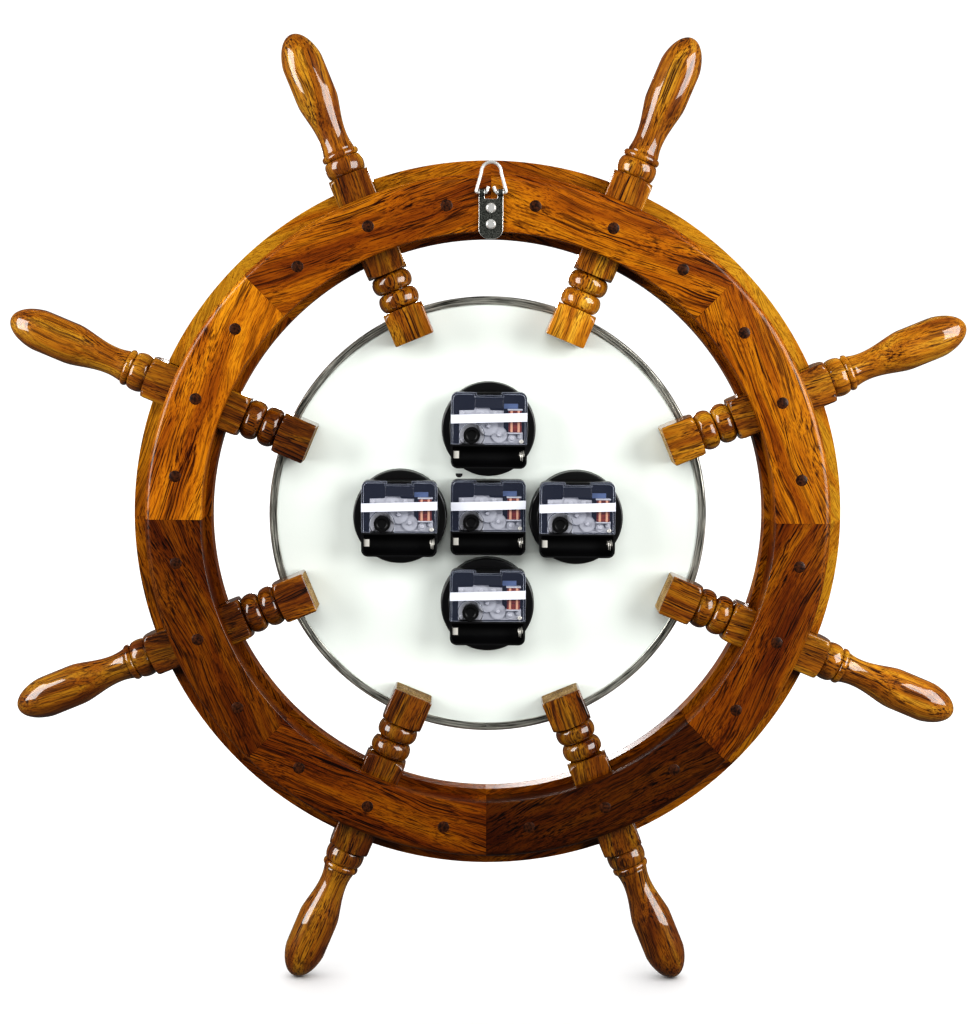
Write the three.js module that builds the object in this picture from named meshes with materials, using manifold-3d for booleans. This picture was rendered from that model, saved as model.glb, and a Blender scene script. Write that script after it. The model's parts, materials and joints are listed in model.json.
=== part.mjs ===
// A ship wheel wall clock: a wooden wheel of eight spokes round a dial with five quartz clocks.
// Millimetres, +Z up. +Y points to the wall and -Y to the room, so the dial faces -Y.
// The origin lies on the wall, straight behind the wheel's centre.

import * as THREE from "three";
import { mergeVertices } from "three/addons/utils/BufferGeometryUtils.js";
import Module from "manifold-3d";

// Clearances
const SEAT_GAP = 0.3; // between pieces that are glued, screwed or seated on each other
const RUN_GAP = 0.3; // round a shaft that turns in its bearing
const AIR_GAP = 1.2; // between hands that pass over each other

// Dial and its metal band
const BEZEL_RADIUS = 164.5;
const BEZEL_SHEET = 1.2;
const BEZEL_BACK_FLANGE = 6;
const BEZEL_FRONT_LIP = 7;
const BEZEL_RISE = 6; // how far the band stands in front of the dial
const DIAL_THICKNESS = 5;

// Wheel rim: a back ring and a wider front ring, with the spokes let into both
const SPOKE_COUNT = 8;
const SPOKE_SQUARE = 30;
const RIM_FROM_DIAL = 46; // the open space between the band and the back ring
const BACK_RING_INNER = BEZEL_RADIUS + RIM_FROM_DIAL;
const BACK_RING_WIDTH = 41.5;
const BACK_RING_OUTER = BACK_RING_INNER + BACK_RING_WIDTH;
const BACK_WALL = 10; // wood behind the spokes
const BACK_RING_DEPTH = SPOKE_SQUARE / 2 + BACK_WALL;
const BACK_OUTER_EASE = 5;
const BACK_INNER_EASE = 2;
const FRONT_OUTER_LIP = 11; // how far the front ring shows outside the back ring
const FRONT_INNER_LIP = 4.5;
const FRONT_RING_OUTER = BACK_RING_OUTER + FRONT_OUTER_LIP;
const FRONT_RING_INNER = BACK_RING_INNER - FRONT_INNER_LIP;
const FRONT_WALL = 6; // wood in front of the spokes
const FRONT_RING_DEPTH = SPOKE_SQUARE / 2 + FRONT_WALL;
const FRONT_EDGE_ROUND = 7;
const DOWEL_RADIUS = 4.3;
const DOWEL_SOCKET = 6;
const DOWEL_FROM_JOINT = 32;

// Spokes: a square end on the dial, two beads, a square through the rim and a turned handle
const SPOKE_ON_DIAL = 21.5; // how far each spoke reaches in from the dial's edge
const SPOKE_INNER_RADIUS = BEZEL_RADIUS - SPOKE_ON_DIAL;
const INNER_SQUARE_LENGTH = 25;
const BEAD_COUNT = 2;
const BEAD_RADIUS = SPOKE_SQUARE / 2;
const BEAD_LENGTH = 13.6;
const BEAD_NECK_RADIUS = 11.8;
const SQUARE_PAST_RIM = 9; // how far the square stands out of the front ring
const HANDLE_LENGTH = 109; // makes a wheel of 762 mm from handle tip to handle tip
const TIP_RADIUS = FRONT_RING_OUTER + SQUARE_PAST_RIM + HANDLE_LENGTH;
const HANDLE_BEAD_RADIUS = 14.5;
const HANDLE_BEAD_LENGTH = 13;
const HANDLE_GROOVE_RADIUS = 12;
const COLLAR_RADIUS = 13.7;
const COLLAR_LENGTH = 5;
const HANDLE_NECK_RADIUS = 10.4;
const HANDLE_SWELL_RADIUS = 15.8;
const HANDLE_COVE = 11; // from the collar to the thinnest place
const HANDLE_FULL = 12; // length of the thickest stretch
const HANDLE_NOSE = 30; // from the thickest stretch to the tip

// Insert cups that carry the four small clocks
const CUP_RADIUS = 35;
const CUP_WALL = 1.6;
const CUP_FLOOR = 2;
const CUP_BEHIND_DIAL = 12;
const CUP_FLANGE_RADIUS = CUP_RADIUS + 5;
const CUP_FLANGE_THICKNESS = 2.5;

// Quartz movement
const CASE_SIZE = 56;
const CASE_DEPTH = 16;
const CASE_ROUND = 5;
const CASE_WALL = 1.2;
const CASE_FLOOR = 2;
const GEAR_WALL_HEIGHT = 9; // the case wall that the clear cover stands on
const BATTERY_BAY = 15.2; // room for one AA cell
const BAY_ROUND = 3.4;
const COVER_SHEET = 1.4;
const LATCH_WIDTH = 18;
const LATCH_DEPTH = 2;
const KNOB_RADIUS = 6.3;
const KNOB_HEIGHT = 6;
const KNOB_STEM_RADIUS = 2;
const KNOB_X = 12.7;
const KNOB_FROM_BAY = 0.5; // from the knob to the wall of the cell's bay
const KNOB_DISH_RADIUS = 3.2;
const KNOB_DISH_DEPTH = 1;
const KNOB_BOSS_WALL = 1.4;
const KNOB_BOSS_HEIGHT = 5;
const KNOB_CLEARANCE = 1.3; // from the knob to the cover's cut-out
const BUSH_RADIUS = 4;
const BUSH_LENGTH = 9.5;
const BUSH_WALL = 0.9;
const CUP_FROM_CASE = 3; // from the middle movement to each cup
const INSERT_PITCH = CASE_SIZE / 2 + CUP_FROM_CASE + CUP_RADIUS;

// Hands: each plate sits on its own hollow arbor
const ARBOR_WALL = 0.7;
const SECOND_PIN_RADIUS = 0.7;
const HAND_THICKNESS = 0.8;
const HUB_MARGIN = 2;
const ARBOR_COLLAR_MARGIN = 2;
const ARBOR_COLLAR_THICKNESS = 1.2;
const MAIN_HOUR_LENGTH = 80;
const MAIN_MINUTE_LENGTH = 118;
const MAIN_SECOND_LENGTH = 125;
const MAIN_HAND_WIDTH = 9;
const SECOND_HAND_WIDTH = 2;
const SMALL_TIP_GAP = 8.4; // from the small minute hand to the cup's wall
const SMALL_MINUTE_LENGTH = CUP_RADIUS - CUP_WALL - SMALL_TIP_GAP;
const SMALL_HOUR_LENGTH = 16;
const SMALL_HAND_WIDTH = 3.6;
const HAND_WAIST_SHARE = 0.3; // as shares of the hand's length
const HAND_WIDEST_SHARE = 0.6;

// Hanger: a folded strap, a wire ring and two screws
const WIRE_RADIUS = 1.25;
const STRAP_SHEET = 1;
const STRAP_WIDTH = 17.5;
const STRAP_BELOW_BAR = 33;
const STRAP_FOOT_ROUND = 7;
const STRAP_TOP_ROUND = 0.5;
const STRAP_NOTCH_WIDTH = 9.4;
const STRAP_NOTCH_DEPTH = 4.5;
const BAR_BELOW_EDGE = 13.6; // from the back ring's outer edge to the hanger's bar
const BAR_RADIUS = BACK_RING_OUTER - BAR_BELOW_EDGE;
const RING_HEIGHT = 21.5;
const RING_ARCH_RADIUS = 7.1;
const RING_SIDE_PLAY = 1; // between each leg and the strap's ear
const PRONG_RISE = 4.2;
const PRONG_TIP_GAP = 1; // between the wire's two ends
const SCREW_FROM_BAR = [11, 22.6];
const SCREW_HEAD_RADIUS = 3.7;
const SCREW_HEAD_HEIGHT = 2.1;
const SCREW_SHOULDER_RADIUS = 3.3;
const SCREW_CROWN_RADIUS = 1.85;
const SCREW_SHANK_RADIUS = 1.7;
const SCREW_LENGTH = 14;

// Fineness of the round shapes
const RING_SIDES = 48;
const SPOKE_SIDES = 14;
const DIAL_SIDES = 48;
const CUP_SIDES = 24;
const SMALL_SIDES = 8;
const WIRE_SIDES = 6;
const EDGE_STEPS = 3;
const CORNER_STEPS = 2;
const BEAD_STEPS = 4;
const SWELL_STEPS = 4;
const NOSE_STEPS = 5;
const ARCH_STEPS = 6;

// Working allowances for joining and cutting
const WELD = 1e-4;
const OVERLAP = 1; // how far joined pieces run into each other
const PAST = 1; // how far a cutter runs past the face it opens

// Depths along Y, worked out from the wall towards the room
const KNUCKLE_RADIUS = WIRE_RADIUS + RUN_GAP + STRAP_SHEET;
const RIM_BACK = -(2 * KNUCKLE_RADIUS + SEAT_GAP);
const BAR_DEPTH = RIM_BACK + SEAT_GAP + KNUCKLE_RADIUS;
const BACK_RING_FRONT = RIM_BACK - BACK_RING_DEPTH;
const SPOKE_DEPTH = BACK_RING_FRONT - SEAT_GAP / 2;
const FRONT_RING_BACK = SPOKE_DEPTH - SEAT_GAP / 2;
const RIM_FRONT = FRONT_RING_BACK - FRONT_RING_DEPTH;
const SPOKE_FRONT = SPOKE_DEPTH - SPOKE_SQUARE / 2;
const BEZEL_BACK = SPOKE_FRONT - SEAT_GAP;
const DIAL_BACK = BEZEL_BACK - BEZEL_SHEET - SEAT_GAP;
const DIAL_FRONT = DIAL_BACK - DIAL_THICKNESS;
const BEZEL_FRONT = DIAL_FRONT - BEZEL_RISE;
const CUP_BACK = DIAL_BACK + CUP_BEHIND_DIAL;

// Angles round the wheel
const SECTOR = (2 * Math.PI) / SPOKE_COUNT;
const spokeAngle = (index) => SECTOR * (index + 0.5);

// Materials
const finish = (color, roughness, metalness = 0) =>
  new THREE.MeshStandardMaterial({ color, roughness, metalness });
const WOOD = finish(0x8a4a12, 0.35);
const DARK_WOOD = finish(0x6e3a10, 0.35);
const DIAL_PAINT = finish(0xeff0e4, 0.6);
const BAND_METAL = finish(0x6f716c, 0.45, 1);
const BLACK_PLASTIC = finish(0x131316, 0.5);
const CLEAR_PLASTIC = new THREE.MeshStandardMaterial({
  color: 0xa9b2c8,
  roughness: 0.15,
  transparent: true,
  opacity: 0.4,
});
const HAND_METAL = finish(0x1c1c1e, 0.4, 0.6);
const STEEL = finish(0xb8b8b4, 0.3, 1);

const wasm = await Module();
wasm.setup();

// A closed geometry as a solid that can be cut and joined
function solid(geometry) {
  const bare = geometry.clone();
  bare.deleteAttribute("normal");
  bare.deleteAttribute("uv");
  const welded = mergeVertices(bare, WELD);
  const mesh = new wasm.Mesh({
    numProp: 3,
    vertProperties: welded.attributes.position.array,
    triVerts: new Uint32Array(welded.index.array),
  });
  return new wasm.Manifold(mesh);
}

// The surface of a solid as a geometry
function surface(body) {
  const mesh = body.getMesh();
  const position = new THREE.BufferAttribute(mesh.vertProperties, mesh.numProp);
  const geometry = new THREE.BufferGeometry().setAttribute("position", position);
  return geometry.setIndex(new THREE.BufferAttribute(mesh.triVerts, 1));
}

const join = (...geometries) => surface(geometries.map(solid).reduce((a, b) => a.add(b)));

function cut(geometry, ...cutters) {
  return surface(cutters.map(solid).reduce((a, b) => a.subtract(b), solid(geometry)));
}

// A solid of revolution round Y from a closed outline of [radius, y] points
function turned(outline, sides) {
  const area = outline.reduce((sum, [r, y], i) => {
    const [r2, y2] = outline[(i + 1) % outline.length];
    return sum + r * y2 - r2 * y;
  }, 0);
  const ordered = area > 0 ? outline : [...outline].reverse();
  const points = [...ordered, ordered[0]].map(([r, y]) => new THREE.Vector2(r, y));
  return new THREE.LatheGeometry(points, sides);
}

// A flat shape in the XZ plane given a thickness from y = front to y = back
function slab(shape, front, back) {
  const depth = back - front;
  const options = { depth, bevelEnabled: false, curveSegments: CORNER_STEPS };
  return new THREE.ExtrudeGeometry(shape, options).rotateX(Math.PI / 2).translate(0, back, 0);
}

// A round rod along Y
function rod(radius, front, back, x = 0, z = 0, sides = SMALL_SIDES) {
  const rodGeometry = new THREE.CylinderGeometry(radius, radius, back - front, sides);
  return rodGeometry.translate(x, (front + back) / 2, z);
}

// The corner radius of a faceted bore whose flats clear a rod by the given gap
const boreFor = (radius, gap) => (radius + gap) / Math.cos(Math.PI / SMALL_SIDES);

// A box from its limits
function box([x0, x1], [y0, y1], [z0, z1]) {
  const boxGeometry = new THREE.BoxGeometry(x1 - x0, y1 - y0, z1 - z0);
  return boxGeometry.translate((x0 + x1) / 2, (y0 + y1) / 2, (z0 + z1) / 2);
}

// Points of an arc of [radius, y] round a centre, from one angle to another
function arc(centreR, centreY, radius, from, to) {
  return Array.from({ length: EDGE_STEPS + 1 }, (_, i) => {
    const angle = from + ((to - from) * i) / EDGE_STEPS;
    return [centreR + radius * Math.cos(angle), centreY + radius * Math.sin(angle)];
  });
}

// A rectangle with its own rounding for the lower and the upper corners
function roundedRectangle(width, low, high, lowRound, highRound) {
  const half = width / 2;
  const shape = new THREE.Shape();
  shape.moveTo(-half + lowRound, low);
  shape.lineTo(half - lowRound, low);
  if (lowRound) shape.absarc(half - lowRound, low + lowRound, lowRound, -Math.PI / 2, 0);
  shape.lineTo(half, high - highRound);
  shape.absarc(half - highRound, high - highRound, highRound, 0, Math.PI / 2);
  shape.lineTo(-half + highRound, high);
  shape.absarc(-half + highRound, high - highRound, highRound, Math.PI / 2, Math.PI);
  shape.lineTo(-half, low + lowRound);
  if (lowRound) shape.absarc(-half + lowRound, low + lowRound, lowRound, Math.PI, 1.5 * Math.PI);
  return shape;
}

// Wheel rim

// One sector of the rim round +Z, drawn in at both ends for the glue line
function sectorWedge(front, back) {
  const half = SECTOR / 2;
  const apex = SEAT_GAP / 2 / Math.sin(half);
  const reach = 2 * FRONT_RING_OUTER;
  const shape = new THREE.Shape();
  shape.moveTo(0, apex);
  shape.lineTo(reach * Math.sin(half), apex + reach * Math.cos(half));
  shape.lineTo(-reach * Math.sin(half), apex + reach * Math.cos(half));
  return slab(shape, front, back);
}

// The square passage of a spoke through the rim, along +Z
function spokeChannel() {
  const half = SPOKE_SQUARE / 2 + SEAT_GAP;
  const along = [BACK_RING_INNER / 2, 2 * FRONT_RING_OUTER];
  return box([-half, half], [SPOKE_DEPTH - half, SPOKE_DEPTH + half], along);
}

function sectorOf(ring, cutters) {
  const wedge = sectorWedge(RIM_FRONT - SPOKE_SQUARE, RIM_BACK + SPOKE_SQUARE);
  const piece = solid(ring).intersect(solid(wedge));
  return surface(cutters.map(solid).reduce((a, b) => a.subtract(b), piece));
}

// Sockets for the three dowels that pin one felloe
function dowelSockets() {
  const pitch = (BACK_RING_OUTER + BACK_RING_INNER) / 2;
  const side = SECTOR / 2 - Math.asin(DOWEL_FROM_JOINT / pitch);
  return [-side, 0, side].map((angle) => {
    const x = pitch * Math.sin(angle);
    const z = pitch * Math.cos(angle);
    return rod(DOWEL_RADIUS, RIM_BACK - DOWEL_SOCKET, RIM_BACK + PAST, x, z);
  });
}

// Holes for the hanger's screws, which go in at the joint at the top of the wheel
function hangerScrewHoles(index) {
  const radius = SCREW_SHANK_RADIUS + SEAT_GAP;
  const depth = RIM_BACK - SCREW_LENGTH - SEAT_GAP;
  return SCREW_FROM_BAR.map((below) => {
    const hole = rod(radius, depth, RIM_BACK + PAST, 0, BAR_RADIUS - below);
    return hole.rotateY(-spokeAngle(index));
  });
}

function backFelloe(index) {
  const [outer, inner] = [BACK_OUTER_EASE, BACK_INNER_EASE];
  const outline = [
    [BACK_RING_INNER, BACK_RING_FRONT],
    [BACK_RING_OUTER, BACK_RING_FRONT],
    ...arc(BACK_RING_OUTER - outer, RIM_BACK - outer, outer, 0, Math.PI / 2),
    ...arc(BACK_RING_INNER + inner, RIM_BACK - inner, inner, Math.PI / 2, Math.PI),
  ];
  const besideHanger = index === 0 || index === SPOKE_COUNT - 1;
  const screwHoles = besideHanger ? hangerScrewHoles(index) : [];
  return sectorOf(turned(outline, RING_SIDES), [spokeChannel(), ...dowelSockets(), ...screwHoles]);
}

function frontFelloe() {
  const round = FRONT_EDGE_ROUND;
  const outline = [
    [FRONT_RING_OUTER, FRONT_RING_BACK],
    [FRONT_RING_INNER, FRONT_RING_BACK],
    ...arc(FRONT_RING_INNER + round, RIM_FRONT + round, round, Math.PI, 1.5 * Math.PI),
    ...arc(FRONT_RING_OUTER - round, RIM_FRONT + round, round, 1.5 * Math.PI, 2 * Math.PI),
  ];
  return sectorOf(turned(outline, RING_SIDES), [spokeChannel()]);
}

// Spokes, made along +Z with the wheel's centre at z = 0

// A turned bead from one station to the next along the spoke
function bead(start, length, radius, neck) {
  return Array.from({ length: BEAD_STEPS + 1 }, (_, i) => {
    const share = i / BEAD_STEPS;
    const swell = Math.sqrt(1 - (2 * share - 1) ** 2);
    return [neck + (radius - neck) * swell, start + length * share];
  });
}

// The handle's smooth swell, from the thin neck to the round tip
function handleSwell(neckAt) {
  const noseAt = TIP_RADIUS - HANDLE_NOSE;
  const fullAt = noseAt - HANDLE_FULL;
  const rise = Array.from({ length: SWELL_STEPS }, (_, i) => {
    const share = (i + 1) / SWELL_STEPS;
    const eased = (1 - Math.cos(Math.PI * share)) / 2;
    const radius = HANDLE_NECK_RADIUS + (HANDLE_SWELL_RADIUS - HANDLE_NECK_RADIUS) * eased;
    return [radius, neckAt + (fullAt - neckAt) * share];
  });
  const nose = Array.from({ length: NOSE_STEPS }, (_, i) => {
    const angle = (Math.PI / 2) * (i / NOSE_STEPS);
    return [HANDLE_SWELL_RADIUS * Math.cos(angle), noseAt + HANDLE_NOSE * Math.sin(angle)];
  });
  return [...rise, ...nose, [0, TIP_RADIUS]];
}

function spoke() {
  const half = SPOKE_SQUARE / 2;
  const innerEnd = SPOKE_INNER_RADIUS + INNER_SQUARE_LENGTH;
  const rimStart = innerEnd + BEAD_COUNT * BEAD_LENGTH;
  const rimEnd = FRONT_RING_OUTER + SQUARE_PAST_RIM;
  const collarStart = rimEnd + HANDLE_BEAD_LENGTH;
  const collarEnd = collarStart + COLLAR_LENGTH;
  const neckAt = collarEnd + HANDLE_COVE;
  const beads = Array.from({ length: BEAD_COUNT }, (_, i) =>
    bead(innerEnd + i * BEAD_LENGTH, BEAD_LENGTH, BEAD_RADIUS, BEAD_NECK_RADIUS).slice(i ? 1 : 0),
  ).flat();
  const beadOutline = [
    [0, innerEnd - OVERLAP],
    [BEAD_NECK_RADIUS, innerEnd - OVERLAP],
    ...beads,
    [BEAD_NECK_RADIUS, rimStart + OVERLAP],
    [0, rimStart + OVERLAP],
  ];
  const handleOutline = [
    [0, rimEnd - OVERLAP],
    [HANDLE_GROOVE_RADIUS, rimEnd - OVERLAP],
    ...bead(rimEnd, HANDLE_BEAD_LENGTH, HANDLE_BEAD_RADIUS, HANDLE_GROOVE_RADIUS),
    [COLLAR_RADIUS, collarStart + COLLAR_LENGTH / 3],
    [COLLAR_RADIUS, collarEnd - COLLAR_LENGTH / 3],
    [(COLLAR_RADIUS + HANDLE_NECK_RADIUS) / 2, collarEnd],
    [HANDLE_NECK_RADIUS, neckAt],
    ...handleSwell(neckAt),
  ];
  const onAxis = (outline) => turned(outline, SPOKE_SIDES).rotateX(Math.PI / 2);
  const innerSquare = box([-half, half], [-half, half], [SPOKE_INNER_RADIUS, innerEnd]);
  const rimSquare = box([-half, half], [-half, half], [rimStart, rimEnd]);
  const whole = join(innerSquare, onAxis(beadOutline), rimSquare, onAxis(handleOutline));
  return whole.translate(0, SPOKE_DEPTH, 0);
}

// Dial

function dialPlate() {
  const radius = BEZEL_RADIUS - BEZEL_SHEET - SEAT_GAP;
  const plate = rod(radius, DIAL_FRONT, DIAL_BACK, 0, 0, DIAL_SIDES);
  const hole = (holeRadius, x, z, sides) =>
    rod(holeRadius, DIAL_FRONT - PAST, DIAL_BACK + PAST, x, z, sides);
  const cupHoles = INSERT_PLACES.map(({ x, z }) => hole(CUP_RADIUS + SEAT_GAP, x, z, CUP_SIDES));
  return cut(plate, hole(BUSH_RADIUS + SEAT_GAP, 0, 0, SMALL_SIDES), ...cupHoles);
}

// A rolled metal band with a flange behind the dial and a lip in front of it
function dialBezel() {
  const inside = BEZEL_RADIUS - BEZEL_SHEET;
  const outline = [
    [BEZEL_RADIUS, BEZEL_BACK],
    [BEZEL_RADIUS, BEZEL_FRONT],
    [BEZEL_RADIUS - BEZEL_FRONT_LIP, BEZEL_FRONT],
    [BEZEL_RADIUS - BEZEL_FRONT_LIP, BEZEL_FRONT + BEZEL_SHEET],
    [inside, BEZEL_FRONT + BEZEL_SHEET],
    [inside, BEZEL_BACK - BEZEL_SHEET],
    [BEZEL_RADIUS - BEZEL_BACK_FLANGE, BEZEL_BACK - BEZEL_SHEET],
    [BEZEL_RADIUS - BEZEL_BACK_FLANGE, BEZEL_BACK],
  ];
  return turned(outline, DIAL_SIDES);
}

// A cup pushed through the dial from the front until its flange stops it
function insertCup() {
  const flangeBack = DIAL_FRONT - SEAT_GAP;
  const flangeFront = flangeBack - CUP_FLANGE_THICKNESS;
  const bushHole = BUSH_RADIUS + SEAT_GAP;
  const outline = [
    [bushHole, CUP_BACK],
    [CUP_RADIUS, CUP_BACK],
    [CUP_RADIUS, flangeBack],
    [CUP_FLANGE_RADIUS, flangeBack],
    [CUP_FLANGE_RADIUS, flangeFront],
    [CUP_RADIUS - CUP_WALL, flangeFront],
    [CUP_RADIUS - CUP_WALL, CUP_BACK - CUP_FLOOR],
    [bushHole, CUP_BACK - CUP_FLOOR],
  ];
  return turned(outline, CUP_SIDES);
}

// Quartz movement, made with its seat at y = 0 and its back towards +Y

const CASE_HALF = CASE_SIZE / 2;
const BAY_LOW = -CASE_HALF + CASE_WALL;
const BAY_HIGH = BAY_LOW + BATTERY_BAY;
const GEAR_LOW = BAY_HIGH + CASE_WALL;
const COVER_LOW = GEAR_LOW + SEAT_GAP;
const KNOB_Z = GEAR_LOW + KNOB_FROM_BAY + KNOB_RADIUS;
const HOUR_TUBE_RADIUS = BUSH_RADIUS - BUSH_WALL - RUN_GAP;
const MINUTE_ARBOR_RADIUS = HOUR_TUBE_RADIUS - ARBOR_WALL - RUN_GAP;

// A black box, open behind, with a bay for the gears and a bay for one cell
function movementCase() {
  const inside = CASE_SIZE - 2 * CASE_WALL;
  const innerRound = CASE_ROUND - CASE_WALL;
  const open = CASE_DEPTH + PAST;
  const outer = roundedRectangle(CASE_SIZE, -CASE_HALF, CASE_HALF, CASE_ROUND, CASE_ROUND);
  const gearBay = roundedRectangle(inside, GEAR_LOW, CASE_HALF - CASE_WALL, 0, innerRound);
  const batteryBay = roundedRectangle(inside, BAY_LOW, BAY_HIGH, BAY_ROUND, CASE_WALL);
  const aboveWall = box([-CASE_SIZE, CASE_SIZE], [GEAR_WALL_HEIGHT, open], [GEAR_LOW, CASE_SIZE]);
  const latch = box(
    [-LATCH_WIDTH / 2, LATCH_WIDTH / 2],
    [GEAR_WALL_HEIGHT - OVERLAP, CASE_DEPTH],
    [CASE_HALF - CASE_WALL, CASE_HALF],
  );
  const shell = cut(
    slab(outer, 0, CASE_DEPTH),
    slab(gearBay, CASE_FLOOR, open),
    slab(batteryBay, CASE_FLOOR, open),
    aboveWall,
  );
  const bossRadius = boreFor(KNOB_STEM_RADIUS, RUN_GAP) + KNOB_BOSS_WALL;
  const boss = rod(bossRadius, CASE_FLOOR - OVERLAP, CASE_FLOOR + KNOB_BOSS_HEIGHT, KNOB_X, KNOB_Z);
  const bush = rod(BUSH_RADIUS, -BUSH_LENGTH, OVERLAP);
  const stemHole = rod(boreFor(KNOB_STEM_RADIUS, RUN_GAP), CASE_FLOOR, open, KNOB_X, KNOB_Z);
  const bore = rod(boreFor(HOUR_TUBE_RADIUS, RUN_GAP), -BUSH_LENGTH - PAST, CASE_FLOOR + PAST);
  return cut(join(shell, latch, boss, bush), stemHole, bore);
}

// The clear lid over the gears, notched for the latch and for the knob
function movementCover() {
  const low = GEAR_WALL_HEIGHT + SEAT_GAP;
  const ceiling = CASE_DEPTH - COVER_SHEET;
  const outer = roundedRectangle(CASE_SIZE, COVER_LOW, CASE_HALF, 0, CASE_ROUND);
  const innerRound = CASE_ROUND - COVER_SHEET;
  const inside = roundedRectangle(
    CASE_SIZE - 2 * COVER_SHEET,
    -CASE_SIZE,
    CASE_HALF - COVER_SHEET,
    0,
    innerRound,
  );
  const knobCut = KNOB_RADIUS + KNOB_CLEARANCE;
  const notchHalf = LATCH_WIDTH / 2 + SEAT_GAP;
  const through = [low - PAST, CASE_DEPTH + PAST];
  return cut(
    slab(outer, low, CASE_DEPTH),
    slab(inside, low - PAST, ceiling),
    rod(knobCut, ...through, KNOB_X, KNOB_Z, 2 * SMALL_SIDES),
    box([KNOB_X - knobCut, KNOB_X + knobCut], through, [-CASE_SIZE, KNOB_Z]),
    box([-notchHalf, notchHalf], through, [CASE_HALF - LATCH_DEPTH, CASE_SIZE]),
  );
}

// The thumb knob that sets the hands, on a stem that turns in the case's boss
function setKnob() {
  const head = rod(KNOB_RADIUS, CASE_DEPTH - KNOB_HEIGHT, CASE_DEPTH, 0, 0, 2 * SMALL_SIDES);
  const dish = rod(KNOB_DISH_RADIUS, CASE_DEPTH - KNOB_DISH_DEPTH, CASE_DEPTH + PAST);
  const stem = rod(KNOB_STEM_RADIUS, CASE_FLOOR + SEAT_GAP, CASE_DEPTH - KNOB_HEIGHT + OVERLAP);
  return join(cut(head, dish), stem);
}

// Hands, pointing along +Z

// A tapered pointer with a waist near its hub and a short tail
function pointer(length, width, tail) {
  const shape = new THREE.Shape();
  shape.moveTo(-width / 4, -tail);
  shape.lineTo(width / 4, -tail);
  shape.lineTo(width / 4, length * HAND_WAIST_SHARE);
  shape.lineTo(width / 2, length * HAND_WIDEST_SHARE);
  shape.lineTo(0, length);
  shape.lineTo(-width / 2, length * HAND_WIDEST_SHARE);
  shape.lineTo(-width / 4, length * HAND_WAIST_SHARE);
  return shape;
}

// A hand on its arbor: the plate's back, the arbor's outside and bore, and its collar in the case
function hand({ length, width, back, radius, bore, collarFront }) {
  const front = back - HAND_THICKNESS;
  const collarBack = collarFront + ARBOR_COLLAR_THICKNESS;
  const hubRadius = radius + HUB_MARGIN;
  const plate = slab(pointer(length, width, hubRadius), front, back);
  const hub = rod(hubRadius, front, back);
  const arbor = rod(radius, front, collarBack);
  const collar = rod(radius + ARBOR_COLLAR_MARGIN, collarFront, collarBack);
  const whole = join(plate, hub, arbor, collar);
  return bore ? cut(whole, rod(bore, front - PAST, collarBack + PAST)) : whole;
}

const HOUR_BACK = -BUSH_LENGTH - AIR_GAP;
const MINUTE_BACK = HOUR_BACK - HAND_THICKNESS - AIR_GAP;
const SECOND_BACK = MINUTE_BACK - HAND_THICKNESS - AIR_GAP;
const HOUR_COLLAR = CASE_FLOOR + SEAT_GAP;
const MINUTE_COLLAR = HOUR_COLLAR + ARBOR_COLLAR_THICKNESS + RUN_GAP;
const SECOND_COLLAR = MINUTE_COLLAR + ARBOR_COLLAR_THICKNESS + RUN_GAP;

function hourHand(length, width) {
  const bore = boreFor(MINUTE_ARBOR_RADIUS, RUN_GAP);
  const depths = { back: HOUR_BACK, collarFront: HOUR_COLLAR };
  return hand({ length, width, radius: HOUR_TUBE_RADIUS, bore, ...depths });
}

function minuteHand(length, width, hollow) {
  const bore = hollow ? boreFor(SECOND_PIN_RADIUS, RUN_GAP) : 0;
  const depths = { back: MINUTE_BACK, collarFront: MINUTE_COLLAR };
  return hand({ length, width, radius: MINUTE_ARBOR_RADIUS, bore, ...depths });
}

function secondHand() {
  const size = { length: MAIN_SECOND_LENGTH, width: SECOND_HAND_WIDTH };
  const depths = { back: SECOND_BACK, collarFront: SECOND_COLLAR };
  return hand({ ...size, radius: SECOND_PIN_RADIUS, bore: 0, ...depths });
}

// Hanger, made in place at the top of the rim

// The strap lies on the rim and its two ears roll round the ring's bar
function hangerStrap() {
  const half = STRAP_WIDTH / 2;
  const back = RIM_BACK + SEAT_GAP + STRAP_SHEET;
  const foot = BAR_RADIUS - STRAP_BELOW_BAR;
  const shape = roundedRectangle(STRAP_WIDTH, foot, BAR_RADIUS, STRAP_FOOT_ROUND, STRAP_TOP_ROUND);
  const plate = slab(shape, RIM_BACK + SEAT_GAP, back);
  const knuckle = rod(KNUCKLE_RADIUS, -half, half)
    .rotateZ(Math.PI / 2)
    .translate(0, BAR_DEPTH, BAR_RADIUS);
  const barHole = rod(boreFor(WIRE_RADIUS, RUN_GAP), -STRAP_WIDTH, STRAP_WIDTH)
    .rotateZ(Math.PI / 2)
    .translate(0, BAR_DEPTH, BAR_RADIUS);
  const notchHalf = STRAP_NOTCH_WIDTH / 2;
  const notch = box(
    [-notchHalf, notchHalf],
    [RIM_BACK, SCREW_LENGTH],
    [BAR_RADIUS - STRAP_NOTCH_DEPTH, BAR_RADIUS + 2 * KNUCKLE_RADIUS],
  );
  const screwHoles = SCREW_FROM_BAR.map((below) =>
    rod(SCREW_SHANK_RADIUS + SEAT_GAP, RIM_BACK - PAST, back + PAST, 0, BAR_RADIUS - below),
  );
  return cut(join(plate, knuckle), barHole, notch, ...screwHoles);
}

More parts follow.
